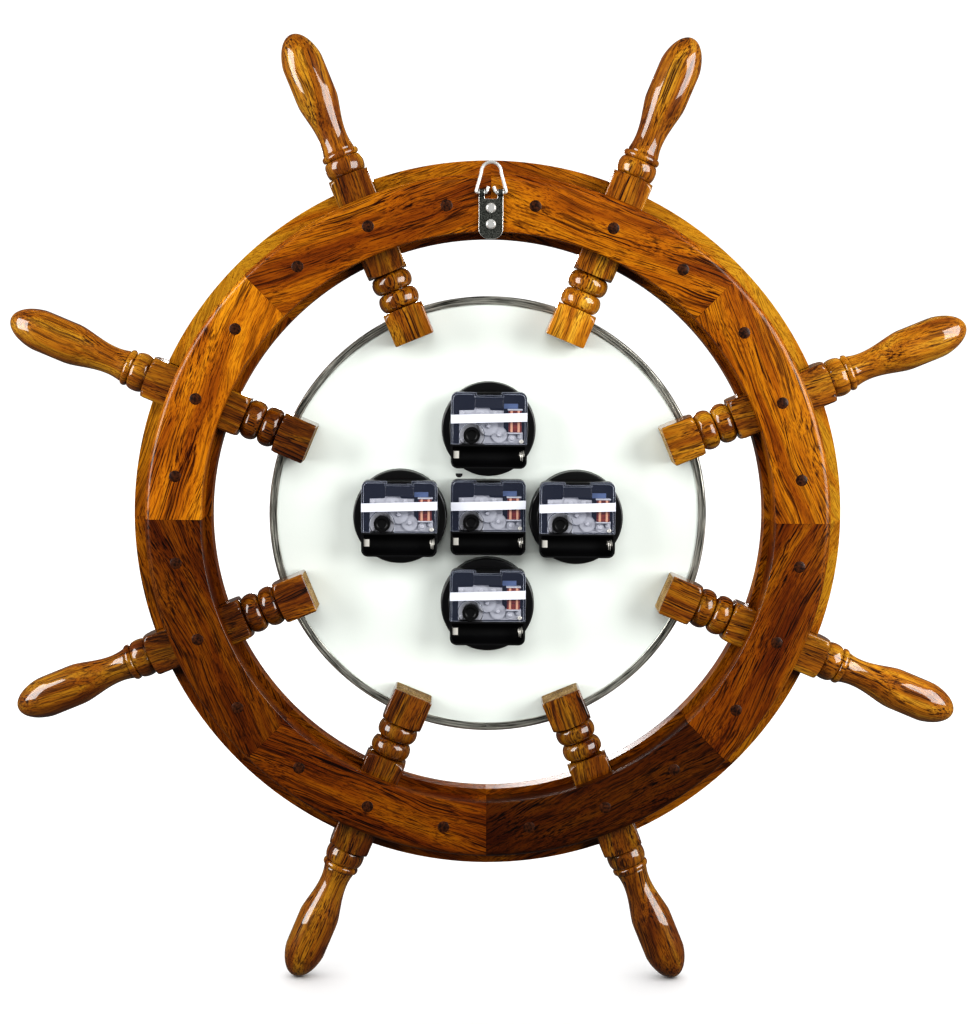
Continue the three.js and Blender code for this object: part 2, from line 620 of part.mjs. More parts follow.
// One bent wire: a prong, the bar through one ear, a leg, the arch, and back down the other side
function hangerRing() {
  const archCentre = RING_HEIGHT - RING_ARCH_RADIUS;
  const right = [
    [PRONG_TIP_GAP / 2 + WIRE_RADIUS, PRONG_RISE],
    [STRAP_NOTCH_WIDTH / 2 - WIRE_RADIUS, 0],
    [STRAP_WIDTH / 2 + RING_SIDE_PLAY + WIRE_RADIUS, 0],
    [RING_ARCH_RADIUS, archCentre],
  ];
  const archPoints = Array.from({ length: ARCH_STEPS - 1 }, (_, i) => {
    const angle = (Math.PI * (i + 1)) / ARCH_STEPS;
    return [RING_ARCH_RADIUS * Math.cos(angle), archCentre + RING_ARCH_RADIUS * Math.sin(angle)];
  });
  const left = right.map(([x, z]) => [-x, z]).reverse();
  const route = [...right, ...archPoints, ...left];
  return wireAlong(route).translate(0, BAR_DEPTH, BAR_RADIUS);
}

// A round wire along a flat route of [x, z] points, mitred at each bend
function wireAlong(route) {
  const links = route.slice(1).map(([x, z], i) => {
    const [x0, z0] = route[i];
    const length = Math.hypot(x - x0, z - z0);
    const link = new THREE.CylinderGeometry(WIRE_RADIUS, WIRE_RADIUS, length, WIRE_SIDES);
    link.rotateX(Math.PI / 2).rotateY(Math.atan2(x - x0, z - z0));
    return link.translate((x + x0) / 2, 0, (z + z0) / 2);
  });
  const bends = route.slice(1, -1).map(([x, z]) => {
    const ball = new THREE.SphereGeometry(WIRE_RADIUS, WIRE_SIDES, WIRE_SIDES / 2);
    return ball.translate(x, 0, z);
  });
  return join(...links, ...bends);
}

// A round-headed wood screw through the strap into the rim
function hangerScrew(below) {
  const under = RIM_BACK + 2 * SEAT_GAP + STRAP_SHEET;
  const outline = [
    [0, under - SCREW_LENGTH],
    [SCREW_SHANK_RADIUS, under - SCREW_LENGTH + SCREW_SHANK_RADIUS],
    [SCREW_SHANK_RADIUS, under],
    [SCREW_HEAD_RADIUS, under],
    [SCREW_SHOULDER_RADIUS, under + SCREW_HEAD_HEIGHT / 2],
    [SCREW_CROWN_RADIUS, under + SCREW_HEAD_HEIGHT],
    [0, under + SCREW_HEAD_HEIGHT],
  ];
  return turned(outline, SMALL_SIDES).translate(0, 0, BAR_RADIUS - below);
}

// Assembly

const CENTRE = { name: "centre", x: 0, z: 0, hour: 10, minute: 10 };
const INSERT_PLACES = [
  { name: "top", x: 0, z: INSERT_PITCH, hour: 1, minute: 10 },
  { name: "right", x: INSERT_PITCH, z: 0, hour: 6, minute: 10 },
  { name: "bottom", x: 0, z: -INSERT_PITCH, hour: 4, minute: 10 },
  { name: "left", x: -INSERT_PITCH, z: 0, hour: 8, minute: 10 },
];

const clock = new THREE.Group();

function add(parent, name, geometry, material) {
  const mesh = new THREE.Mesh(geometry, material);
  mesh.name = name;
  parent.add(mesh);
  return mesh;
}

// A turn about +Y is clockwise as seen from the room
const fullTurns = (turns) => 2 * Math.PI * turns;

function addWheel() {
  const spokeShape = spoke();
  const frontShape = frontFelloe();
  for (let index = 0; index < SPOKE_COUNT; index += 1) {
    const sector = new THREE.Group();
    sector.rotation.y = spokeAngle(index);
    add(sector, `spoke_${index + 1}`, spokeShape, WOOD);
    add(sector, `rim_back_felloe_${index + 1}`, backFelloe(index), DARK_WOOD);
    add(sector, `rim_front_felloe_${index + 1}`, frontShape, WOOD);
    clock.add(sector);
  }
}

function addMovement(place, seat, hands) {
  const movement = new THREE.Group();
  movement.position.set(place.x, seat, place.z);
  const named = (piece) => `${piece}_${place.name}`;
  add(movement, named("movement_case"), movementCase(), BLACK_PLASTIC);
  add(movement, named("movement_cover"), movementCover(), CLEAR_PLASTIC);
  const knob = add(movement, named("set_knob"), setKnob(), BLACK_PLASTIC);
  knob.position.set(KNOB_X, 0, KNOB_Z);
  const hour = add(movement, named("hour_hand"), hands.hour, HAND_METAL);
  hour.rotation.y = fullTurns((place.hour + place.minute / 60) / 12);
  const minute = add(movement, named("minute_hand"), hands.minute, HAND_METAL);
  minute.rotation.y = fullTurns(place.minute / 60);
  clock.add(movement);
  return movement;
}

function addClocks() {
  const mainHands = {
    hour: hourHand(MAIN_HOUR_LENGTH, MAIN_HAND_WIDTH),
    minute: minuteHand(MAIN_MINUTE_LENGTH, MAIN_HAND_WIDTH, true),
  };
  const smallHands = {
    hour: hourHand(SMALL_HOUR_LENGTH, SMALL_HAND_WIDTH),
    minute: minuteHand(SMALL_MINUTE_LENGTH, SMALL_HAND_WIDTH, false),
  };
  const main = addMovement(CENTRE, DIAL_BACK + SEAT_GAP, mainHands);
  add(main, "second_hand_centre", secondHand(), HAND_METAL);
  for (const place of INSERT_PLACES) {
    const cup = add(clock, `insert_cup_${place.name}`, insertCup(), BLACK_PLASTIC);
    cup.position.set(place.x, 0, place.z);
    addMovement(place, CUP_BACK + SEAT_GAP, smallHands);
  }
}

function addHanger() {
  add(clock, "hanger_strap", hangerStrap(), STEEL);
  add(clock, "hanger_ring", hangerRing(), STEEL);
  add(clock, "hanger_screw_upper", hangerScrew(SCREW_FROM_BAR[0]), STEEL);
  add(clock, "hanger_screw_lower", hangerScrew(SCREW_FROM_BAR[1]), STEEL);
}

addWheel();
add(clock, "dial_plate", dialPlate(), DIAL_PAINT);
add(clock, "dial_bezel", dialBezel(), BAND_METAL);
addClocks();
addHanger();

export default clock;
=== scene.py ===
"""Looks of a ship wheel wall clock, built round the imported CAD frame.

Lengths are millimetres while a mesh is made; publish() turns them to metres.
The wall lies at y = 0, +Y points into it, and the dial faces -Y.
"""

import json
import logging
import math
import random
from collections.abc import Callable, Iterable, Sequence
from dataclasses import dataclass, field
from enum import Enum

import bmesh
import bpy
from mathutils import Matrix, Vector


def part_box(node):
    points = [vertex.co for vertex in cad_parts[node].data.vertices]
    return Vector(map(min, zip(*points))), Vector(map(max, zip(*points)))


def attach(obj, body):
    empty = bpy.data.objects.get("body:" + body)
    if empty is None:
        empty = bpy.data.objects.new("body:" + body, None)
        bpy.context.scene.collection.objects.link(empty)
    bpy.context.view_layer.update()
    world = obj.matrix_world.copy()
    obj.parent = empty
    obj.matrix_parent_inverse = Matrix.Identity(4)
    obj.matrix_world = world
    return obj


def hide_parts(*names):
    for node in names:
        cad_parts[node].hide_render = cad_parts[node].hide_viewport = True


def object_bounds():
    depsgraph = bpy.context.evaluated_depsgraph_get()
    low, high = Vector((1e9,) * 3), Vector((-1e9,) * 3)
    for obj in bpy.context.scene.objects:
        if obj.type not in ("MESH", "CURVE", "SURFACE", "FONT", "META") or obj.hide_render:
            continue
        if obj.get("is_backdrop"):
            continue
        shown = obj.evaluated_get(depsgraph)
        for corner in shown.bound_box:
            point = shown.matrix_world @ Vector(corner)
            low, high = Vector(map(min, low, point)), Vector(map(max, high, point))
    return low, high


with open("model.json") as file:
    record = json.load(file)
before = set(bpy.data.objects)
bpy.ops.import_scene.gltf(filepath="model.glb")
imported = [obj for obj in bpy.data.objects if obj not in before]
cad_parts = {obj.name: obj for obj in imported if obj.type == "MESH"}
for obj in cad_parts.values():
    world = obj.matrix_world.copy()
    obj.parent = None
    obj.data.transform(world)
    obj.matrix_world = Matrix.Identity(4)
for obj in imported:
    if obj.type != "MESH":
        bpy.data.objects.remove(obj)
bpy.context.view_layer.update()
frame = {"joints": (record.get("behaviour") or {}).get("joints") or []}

LOG = logging.getLogger("ship_wheel_clock")
MM = 0.001
FULL_TURN = 2 * math.pi
SMOOTH_BELOW = math.radians(32)  # flatter edges are shaded smooth
EASED_ABOVE = math.radians(40)  # sharper edges are rounded
NEAR = 0.01  # two places closer than this are the same
SEED = 1884
DEEPENS, DEEPEST = 0.6, 0.46  # how fast and how far a darker plank gains contrast
WHITE = "#ffffff"

Point = tuple[float, float]
Station = tuple[float, float, float]
Outline = list[Point]
Share = Callable[[Vector], float]
Mesh, Vert, Edge, Face = bmesh.types.BMesh, bmesh.types.BMVert, bmesh.types.BMEdge, bmesh.types.BMFace
Tree, Socket, Material, Piece = bpy.types.NodeTree, bpy.types.NodeSocket, bpy.types.Material, bpy.types.Object
shift = Matrix.Translation


class Slot(Enum):
    """The record's material slots."""

    RIM_WOOD = "rim_wood"
    TURNED_WOOD = "turned_wood"
    DIAL_PAINT = "dial_paint"
    BAND_METAL = "band_metal"
    BLACK_PLASTIC = "black_plastic"
    CLEAR_PLASTIC = "clear_plastic"
    HAND_METAL = "hand_metal"
    HANGER_STEEL = "hanger_steel"


class Place(Enum):
    """The five clocks on the dial, each with the hour and minute it shows."""

    CENTRE = ("centre", 10, 10)
    TOP = ("top", 1, 10)
    RIGHT = ("right", 6, 10)
    BOTTOM = ("bottom", 4, 10)
    LEFT = ("left", 8, 10)

    @property
    def label(self) -> str:
        """The word that ends the names of this clock's pieces."""
        return self.value[0]

    def turn(self, kind: "HandKind") -> float:
        """The angle at rest of one of this clock's hands.

        Args:
            kind: which hand.

        Returns:
            The angle clockwise from twelve.
        """
        _, hour, minute = self.value
        turns = {HandKind.HOUR: (hour + minute / 60) / 12, HandKind.MINUTE: minute / 60, HandKind.SECOND: 0}
        return FULL_TURN * turns[kind]


class HandKind(Enum):
    """The hands: name, length on the middle and the small clocks, radius and bore of the arbor."""

    HOUR = ("hour_hand", 80.0, 16.0, 2.8, 2.1)
    MINUTE = ("minute_hand", 118.0, 25.0, 1.75, 1.05)
    SECOND = ("second_hand", 125.0, 25.0, 0.7, 0.0)


@dataclass(frozen=True)
class Tag:
    """What a piece is called, which body it rides on and which CAD nodes it stands for."""

    name: str
    body: str = "root"
    slot: Slot | None = None
    replaces: tuple[str, ...] = ()

    @classmethod
    def of(cls, node_name: str, look: str, slot: Slot, moves: bool = False) -> "Tag":
        """The tag of a piece that stands for one CAD node, which may be a moving body."""
        return cls(f"{node_name}_{look}", node_name if moves else "root", slot, (node_name,))


def linear(hex_colour: str) -> tuple[float, float, float, float]:
    """Turns an sRGB hex colour to linear light.

    Args:
        hex_colour: a colour such as "#a0b1c2".

    Returns:
        Red, green, blue and an alpha of one.
    """
    parts = [int(hex_colour[i : i + 2], 16) / 255 for i in (1, 3, 5)]
    light = [c / 12.92 if c <= 0.04045 else ((c + 0.055) / 1.055) ** 2.4 for c in parts]
    return (*light, 1.0)


def node(tree: Tree, kind: str, inputs: dict | None = None, out: int | str = 0, **settings) -> Socket:
    """Adds a shader node with its settings and links.

    Args:
        tree: the material's or world's node tree.
        kind: the node's type, without the prefix that all have.
        inputs: socket to value, or to the output that feeds it.
        out: which output to give back.
        **settings: the node's properties; ramp is a list of (position, hex colour) stops.

    Returns:
        That output of the new node.
    """
    made = tree.nodes.new(f"ShaderNode{kind}")
    stops = settings.pop("ramp", [])
    for key, value in settings.items():
        setattr(made, key, value)
    for index, (position, colour) in enumerate(stops):
        elements = made.color_ramp.elements
        stop = elements[index] if index < 2 else elements.new(position)
        stop.position = position
        stop.color = linear(colour)
    for socket, value in (inputs or {}).items():
        if isinstance(value, Socket):
            tree.links.new(value, made.inputs[socket])
        else:
            made.inputs[socket].default_value = value
    return made.outputs[out]


@dataclass(frozen=True)
class Finish:
    """A material: its name and what its surface gives the eye all over."""

    name: str
    colour: str
    roughness: float
    metallic: float = 0.0
    ior: float = 1.5
    specular: float = 0.5
    coat: float = 0.0
    coat_roughness: float = 0.1
    alpha: float = 1.0  # how much of a thin clear sheet is seen
    grit_mm: float = 0.0  # size of the surface's own unevenness
    grit_depth_mm: float = 0.02
    patch_mm: float = 0.0  # size of its patches of another shade
    patch_colour: str = "#000000"
    patch_share: float = 0.5
    patch_blur: float = 0.16
    stretch: tuple[float, float, float] = (1.0, 1.0, 1.0)
    round_radius_mm: float = 0.0  # radius of a hoop whose marks run along it

    def material(self) -> Material:
        """The material, made on first use."""
        return bpy.data.materials.get(self.name) or self.build()

    def shader(self) -> tuple[Material, Tree, bpy.types.Node]:
        """Starts the material.

        Returns:
            The material, its node tree and its shader with the even values set.
        """
        material = bpy.data.materials.new(self.name)
        material.use_nodes = True
        tree = material.node_tree
        shader = tree.nodes["Principled BSDF"]
        even = {
            "Base Color": linear(self.colour), "Roughness": self.roughness, "Metallic": self.metallic,
            "IOR": self.ior, "Coat Weight": self.coat, "Coat Roughness": self.coat_roughness,
            "Specular IOR Level": self.specular, "Alpha": self.alpha,
        }  # fmt: skip
        for socket, value in even.items():
            shader.inputs[socket].default_value = value
        return material, tree, shader

    def unrolled(self, tree: Tree, place: Socket) -> Socket:
        """Unrolls a hoop round the Y axis into a straight strip.

        Args:
            tree: the material's node tree.
            place: the coordinates on the hoop.

        Returns:
            Metres along the hoop, across its face and through it.
        """
        x, y, z = node(tree, "SeparateXYZ", {0: place}).node.outputs
        turn = node(tree, "Math", {0: x, 1: z}, operation="ARCTAN2")
        along = node(tree, "Math", {0: turn, 1: self.round_radius_mm * MM}, operation="MULTIPLY")
        flat = node(tree, "CombineXYZ", {0: x, 2: z})
        across = node(tree, "VectorMath", {0: flat}, "Value", operation="LENGTH")
        return node(tree, "CombineXYZ", {0: along, 1: across, 2: y})

    def build(self) -> Material:
        """Makes the material with its patches and its grit.

        Returns:
            The new material.
        """
        material, tree, shader = self.shader()
        place = node(tree, "TexCoord", out="Object")
        if self.round_radius_mm:
            place = self.unrolled(tree, place)
        if self.patch_mm:
            scale = [part / (self.patch_mm * MM) for part in self.stretch]
            spread = node(tree, "Mapping", {"Vector": place, "Scale": scale})
            patches = node(tree, "TexNoise", {"Vector": spread, "Scale": 1.0, "Detail": 4.0})
            low, high = self.patch_share - self.patch_blur, self.patch_share + self.patch_blur
            ramp = [(low, self.patch_colour), (high, self.colour)]
            colour = node(tree, "ValToRGB", {0: patches}, ramp=ramp)
            tree.links.new(colour, shader.inputs["Base Color"])
        if self.grit_mm:
            grit = node(tree, "TexNoise", {"Vector": place, "Scale": 1 / (self.grit_mm * MM), "Detail": 2.0})
            bump = node(tree, "Bump", {"Height": grit, "Strength": 1.0, "Distance": self.grit_depth_mm * MM})
            tree.links.new(bump, shader.inputs["Normal"])
        return material


@dataclass(frozen=True)
class Sheesham(Finish):
    """Sheesham, an Indian rosewood: golden brown with fine dark lines, its pores filled under lacquer.

    The mesh carries where each point lay in the plank (grain, in millimetres along, across and
    through), how light the piece is drawn (tone: partly its plank's own tone, partly painted shade
    on the lower parts of the wheel and on the front ring's lip inside the back ring) and how much
    pale sapwood it holds (sap). The cuts are the levels of noise between which a mark goes from
    its own colour to the next.
    """

    heart: tuple[str, str, str] = ("#8c4b06", "#b36e0d", "#c98818")  # dark, even and golden patches
    sapwood: str = "#bf8f24"
    line: str = "#50301a"
    pore: str = "#b39b84"
    patch_mm: float = 15.0
    patch_run_mm: float = 120.0
    patch_cuts: tuple[float, float, float] = (0.34, 0.5, 0.66)
    sap_cuts: Point = (0.34, 0.52)
    line_mm: float = 1.1
    line_run_mm: float = 140.0
    line_cuts: Point = (0.36, 0.54)
    sap_line_share: float = 0.5  # sapwood has fainter lines
    bundle_mm: float = 7.5
    bundle_run_mm: float = 180.0
    bundle_cuts: Point = (0.36, 0.62)
    bundle_least: float = 0.45
    pore_mm: float = 0.4
    pore_run_mm: float = 8.0
    pore_cuts: Point = (0.32, 0.48)
    pore_relief: float = 0.4
    wander_mm: float = 18.0

    def build(self) -> Material:
        """Makes the wood from broad patches, bundles of fine dark lines and short pores.

        Returns:
            The new material.
        """
        material, tree, shader = self.shader()
        plank = node(tree, "Attribute", out="Vector", attribute_name="grain")
        tone = node(tree, "Attribute", out="Vector", attribute_name="tone")
        lightness, depth, _ = node(tree, "SeparateXYZ", {0: tone}).node.outputs
        sap = node(tree, "Attribute", out="Fac", attribute_name="sap")

        def mottle(source: Socket, run: float, width: float, detail: float, out: int = 0) -> Socket:
            """Noise whose marks are this long along the grain and this wide across it."""
            spread = node(tree, "Mapping", {"Vector": source, "Scale": (1 / run, 1 / width, 1 / width)})
            return node(tree, "TexNoise", {"Vector": spread, "Scale": 1.0, "Detail": detail}, out)

        def ramp(level: Socket, cuts: Sequence[float], *colours: str) -> Socket:
            """Colours that follow each other as the level rises."""
            return node(tree, "ValToRGB", {0: level}, ramp=list(zip(cuts, colours)))

        def mix(share: Socket | float, first: Socket, second: Socket, **how: str) -> Socket:
            """A colour with its share of another."""
            return node(tree, "Mix", {0: share, 6: first, 7: second}, 2, data_type="RGBA", **how)

        drift = mottle(plank, 6 * self.wander_mm, 2 * self.wander_mm, 2.0, 1)
        sway = {0: drift, 1: (0, self.wander_mm, self.wander_mm), 2: plank}
        bent = node(tree, "VectorMath", sway, operation="MULTIPLY_ADD")

        patches = mottle(bent, self.patch_run_mm, self.patch_mm, 3.0)
        heart = ramp(patches, self.patch_cuts, *self.heart)
        with_sap = mix(sap, heart, ramp(patches, self.sap_cuts, self.heart[1], self.sapwood))

        bundles = mottle(bent, self.bundle_run_mm, self.bundle_mm, 2.0)
        low, high = self.bundle_cuts
        share = node(tree, "MapRange", {0: bundles, 1: low, 2: high, 3: self.bundle_least, 4: 1.0})
        calm = node(tree, "MapRange", {0: sap, 3: 1.0, 4: self.sap_line_share})
        share = node(tree, "Math", {0: share, 1: calm}, operation="MULTIPLY")
        lines = mottle(bent, self.line_run_mm, self.line_mm, 2.0)
        line_shade = ramp(lines, self.line_cuts, self.line, WHITE)
        lined = mix(share, with_sap, line_shade, blend_type="MULTIPLY")

        pores = mottle(bent, self.pore_run_mm, self.pore_mm, 1.0)
        pored = mix(1.0, lined, ramp(pores, self.pore_cuts, self.pore, WHITE), blend_type="MULTIPLY")
        # the tone darkens and deepens the wood: partly the plank's own tone, partly painted shade on the
        # wheel's lower and inner parts
        deep = node(tree, "Gamma", {"Color": pored, "Gamma": depth})
        toned = node(tree, "VectorMath", {0: deep, "Scale": lightness}, operation="SCALE")
        tree.links.new(toned, shader.inputs["Base Color"])
        relief = {"Height": pores, "Strength": self.pore_relief, "Distance": self.grit_depth_mm * MM}
        tree.links.new(node(tree, "Bump", relief), shader.inputs["Normal"])
        return material


# Flat-sawn rim blocks: a satin coat that spreads the softboxes over the broad faces.
RIM_WOOD = Sheesham("sheesham_rim_lacquered", "#8a4a12", 0.5, specular=0.05, coat=0.4, coat_roughness=0.2)
# Lathe-turned spokes: a fuller gloss coat, with clear white highlights on every bead.
TURNED_WOOD = Sheesham("sheesham_turned_lacquered", "#8a4a12", 0.45, specular=0.08, coat=1.0,
                       coat_roughness=0.06, heart=("#884e0c", "#ae7216", "#c6942c"), patch_mm=9.0)
# Sawn inner ends of the spokes: sealed end grain without the gloss.
SAWN_WOOD = Sheesham("sheesham_end_grain", "#8a4a12", 0.8, specular=0.15,
                     heart=("#c0a06a", "#d6ba82", "#e4cba0"))
# Dowel pegs: end grain soaks up the lacquer and shows nearly black.
DOWEL_WOOD = Finish("dowel_end_grain", "#42200a", 0.5, specular=0.1, coat=0.3, coat_roughness=0.25,
                    patch_mm=1.6, patch_colour="#140602", patch_share=0.54)
# Painted board: matt off-white with the faint roller texture of wall paint.
DIAL_PAINT = Finish("dial_board_paint", "#d8ded8", 0.6, grit_mm=1.8, grit_depth_mm=0.03)
# Rolled aluminium band: dull and scuffed, with dark tarnish along it.
BAND_METAL = Finish("aluminium_band_tarnished", "#d8d7cc", 0.3, metallic=0.72,
                    patch_mm=1.0, patch_colour="#33342f", stretch=(0.05, 1.0, 1.0), round_radius_mm=164.0)
# Moulded ABS: near black with a soft sheen and a very fine spark-eroded texture.
BLACK_ABS = Finish("abs_black_moulded", "#050506", 0.34, grit_mm=0.5, grit_depth_mm=0.015)
POLYSTYRENE = {"ior": 1.59, "coat": 1.0, "coat_roughness": 0.05}
# Moulded polystyrene lid: clear with a faint blue haze.
CLEAR_LID = Finish("polystyrene_clear", "#8f9ac0", 0.08, alpha=0.03, **POLYSTYRENE)
# The lid's rounded edges: pale and nearly opaque, a painted highlight standing in for the light that clear
# edges gather.
LID_EDGE_HIGHLIGHT = Finish("polystyrene_clear_edge_painted_highlight", "#dde4f4", 0.12, alpha=0.8, **POLYSTYRENE)
# The wall round the knob, looked at along its length: painted dark, a painted reflection of the dark case
# that it mirrors.
LID_WALL_DARK_REFLECTION = Finish("polystyrene_clear_painted_reflection", "#15161c", 0.15, alpha=0.6, **POLYSTYRENE)
# Mineral glass of the small clocks: clear and glossy.
LENS_GLASS = Finish("mineral_glass_clear", "#eef4f2", 0.02, ior=1.52, coat=1.0, coat_roughness=0.02,
                    alpha=0.03)
# Acetal gears and plate: milky white and slightly waxy.
GEAR_ACETAL = Finish("acetal_milky_white", "#a0a1a8", 0.42, ior=1.48)
# Enamelled copper wire: red-brown, each turn catching its own line of light.
COIL_COPPER = Finish("copper_wire_enamelled", "#8a3418", 0.45, metallic=0.3,
                     patch_mm=0.9, patch_colour="#4a120a", stretch=(0.05, 0.05, 1.0))
# Bright copper for two strips along the coil's back: a painted highlight of the winding.
COPPER_HIGHLIGHT = Finish("copper_painted_highlight", "#e2ab8c", 0.35, metallic=0.5)
# Circuit board: blue-grey solder resist over glass fibre.
BOARD_RESIST = Finish("circuit_board_resist", "#465576", 0.4)
# Plain paper tape: matt white.
PAPER_TAPE = Finish("paper_tape_plain", "#c6c8d0", 0.75)
# Nickel-plated spring steel of the cell's contacts: bright.
CONTACT_NICKEL = Finish("nickel_plated_steel", "#efece3", 0.35, metallic=0.6)
# Bright zinc-plated wire and screws.
ZINC_STEEL = Finish("zinc_plated_steel", "#e2e2de", 0.33, metallic=0.75)
# Pressed strap: dull zinc, dark with pale specks.
STRAP_STEEL = Finish("steel_strap_dull_zinc", "#7c7e77", 0.36, metallic=0.8,
                     patch_mm=0.8, patch_colour="#1d1f1a", patch_share=0.54)
# Lacquered brass of the small bezels and the nuts: warm and polished.
BRASS = Finish("brass_polished_lacquered", "#d2a448", 0.24, metallic=0.75)
# Black stove enamel on stamped hands.
HAND_ENAMEL = Finish("hand_black_enamel", "#0d0d0e", 0.3, coat=0.5, coat_roughness=0.1)
# Screen-printed ink: flat black.
DIAL_INK = Finish("screen_printed_ink", "#151516", 0.55)
# Printed card of the small dials: smooth matt ivory.
DIAL_CARD = Finish("dial_card_ivory", "#f1eddf", 0.6)
# Floor paint of the studio: plain white.
FLOOR_PAINT = Finish("studio_floor_paint", "#f4f4f4", 0.8)


def spun(angle: float, axis: str = "Y") -> Matrix:
    """A turn round one of the axes."""
    return Matrix.Rotation(angle, 4, axis)


def polar(radius: float, angle: float) -> Point:
    """The point at an angle on a circle."""
    return (radius * math.cos(angle), radius * math.sin(angle))


def arc(centre: Point, radius: float, start: float, end: float, steps: int = 6) -> Outline:
    """Points of an arc.

    Args:
        centre: the arc's centre.
        radius: its radius.
        start: the first angle in degrees.
        end: the last angle in degrees.
        steps: how many chords it has.

    Returns:
        The points from start to end.
    """
    spots = [polar(radius, math.radians(start + (end - start) * i / steps)) for i in range(steps + 1)]
    return [(centre[0] + x, centre[1] + y) for x, y in spots]


def rounded_box(width: float, low: float, high: float, low_round: float, high_round: float) -> Outline:
    """The outline of an upright rectangle with rounded corners.

    Args:
        width: its width, centred on x = 0.
        low: its lower edge.
        high: its upper edge.
        low_round: the radius of its lower corners.
        high_round: the radius of its upper corners.

    Returns:
        The outline, counterclockwise in x and z.
    """
    half = width / 2
    return [
        *arc((-half + low_round, low + low_round), low_round, 180, 270),
        *arc((half - low_round, low + low_round), low_round, 270, 360),
        *arc((half - high_round, high - high_round), high_round, 0, 90),
        *arc((-half + high_round, high - high_round), high_round, 90, 180),
    ]


def circle(radius: float, x: float = 0.0, z: float = 0.0, steps: int = 48) -> Outline:
    """The outline of a round hole or disc."""
    return arc((x, z), radius, 0, 360, steps)[:-1]


def notched(
    radius: float, depth: float, teeth: int, x: float = 0.0, z: float = 0.0, steps: int = 1
) -> Outline:
    """The outline of a ribbed knob or a gear wheel.

    Args:
        radius: the radius over its teeth.
        depth: how deep the gaps between them are.
        teeth: how many there are.
        x: the wheel's centre.
        z: the wheel's centre.
        steps: how many points each tooth and each gap has.

    Returns:
        The outline.
    """
    count = 2 * steps * teeth
    radii = [radius - (depth if i // steps % 2 else 0.0) for i in range(count)]
    spots = [polar(r, FULL_TURN * i / count) for i, r in enumerate(radii)]
    return [(x + a, z + b) for a, b in spots]


def only(geom: Iterable[Vert | Edge | Face], kind: type) -> list:
    """The vertices, edges or faces among mixed geometry."""
    return [item for item in geom if isinstance(item, kind)]


def loop(bm: Mesh, points: Iterable[Vector], closed: bool = True) -> list[Edge]:
    """Adds a line of vertices and edges.

    Args:
        bm: the mesh.
        points: where the vertices go.
        closed: whether the last vertex joins the first.

    Returns:
        The edges in order.
    """
    verts = [bm.verts.new(point) for point in points]
    ends = [*verts[1:], verts[0]] if closed else verts[1:]
    return [bm.edges.new(pair) for pair in zip(verts, ends)]


def grow(bm: Mesh, edges: Sequence[Edge], by: Sequence[float] = (0, 0, 0)) -> tuple[list[Vert], list[Edge]]:
    """Extrudes a row of edges.

    Args:
        bm: the mesh.
        edges: the row.
        by: how far it goes.

    Returns:
        The vertices and the edges of the new row.
    """
    geom = bmesh.ops.extrude_edge_only(bm, edges=edges)["geom"]
    verts = only(geom, Vert)
    bmesh.ops.translate(bm, verts=verts, vec=by)
    return verts, [e for e in only(geom, Edge) if e.is_boundary and all(v in verts for v in e.verts)]


def revolve(profile: Outline, steps: int = 96, closed: bool = True) -> Mesh:
    """Turns a profile of (radius, y) points round the Y axis.

    Args:
        profile: the section.
        steps: how many segments the turn has.
        closed: whether the profile is a ring; otherwise it runs from axis to axis.

    Returns:
        The turned mesh.
    """
    bm = bmesh.new()
    edges = loop(bm, [Vector((r, y, 0)) for r, y in profile], closed)
    geom = [*bm.verts, *edges]
    bmesh.ops.spin(bm, geom=geom, axis=(0, 1, 0), angle=FULL_TURN, steps=steps, use_merge=True)
    mend(bm)
    return bm


def slab(outlines: Sequence[Outline], front: float, back: float) -> Mesh:
    """A flat plate in x and z, with holes, given its thickness along y.

    Args:
        outlines: the outer outline, then the holes.
        front: the lower y.
        back: the higher y.

    Returns:
        The plate.
    """
    bm = bmesh.new()
    edges = [e for outline in outlines for e in loop(bm, [Vector((x, front, z)) for x, z in outline])]
    bmesh.ops.triangle_fill(bm, edges=edges, use_beauty=True)
    bmesh.ops.dissolve_limit(bm, angle_limit=0.01, verts=bm.verts, edges=bm.edges)
    raise_faces(bm, bm.faces, Vector((0, back - front, 0)))
    mend(bm)
    return bm


def raise_faces(bm: Mesh, faces: Iterable[Face], by: Vector) -> None:
    """Extrudes faces along a vector."""
    raised = bmesh.ops.extrude_face_region(bm, geom=list(faces))["geom"]
    bmesh.ops.translate(bm, verts=only(raised, Vert), vec=by)


def mend(bm: Mesh) -> None:
    """Merges doubles and points all faces outwards."""
    bmesh.ops.remove_doubles(bm, verts=bm.verts, dist=1e-4)
    bmesh.ops.recalc_face_normals(bm, faces=bm.faces)


def close(bm: Mesh) -> None:
    """Fills the holes of a mesh."""
    bmesh.ops.holes_fill(bm, edges=[e for e in bm.edges if e.is_boundary], sides=0)


def cut(bm: Mesh, at: Vector, normal: Vector, dist: float = 1e-4, **how: bool) -> None:
    """Cuts a whole mesh along a plane."""
    geom = [*bm.verts, *bm.edges, *bm.faces]
    bmesh.ops.bisect_plane(bm, geom=geom, dist=dist, plane_co=at, plane_no=normal, **how)


def block(bm: Mesh, size: Sequence[float], at: Sequence[float], turn: Matrix = Matrix()) -> None:
    """Adds a box of some size round a point."""
    bmesh.ops.create_cube(bm, size=1.0, matrix=turn @ shift(at) @ Matrix.Diagonal((*size, 1)))


def thicken(bm: Mesh, thickness: float, facing: int = 0) -> None:
    """Gives an open sheet its thickness.

    Args:
        bm: the sheet.
        thickness: how thick it gets.
        facing: 1 or -1 if most of it has to look along +Y or -Y first.
    """
    mend(bm)
    if facing * sum(f.normal.y * f.calc_area() for f in bm.faces) < 0:
        bmesh.ops.reverse_faces(bm, faces=bm.faces)
    bmesh.ops.solidify(bm, geom=bm.faces[:], thickness=thickness)


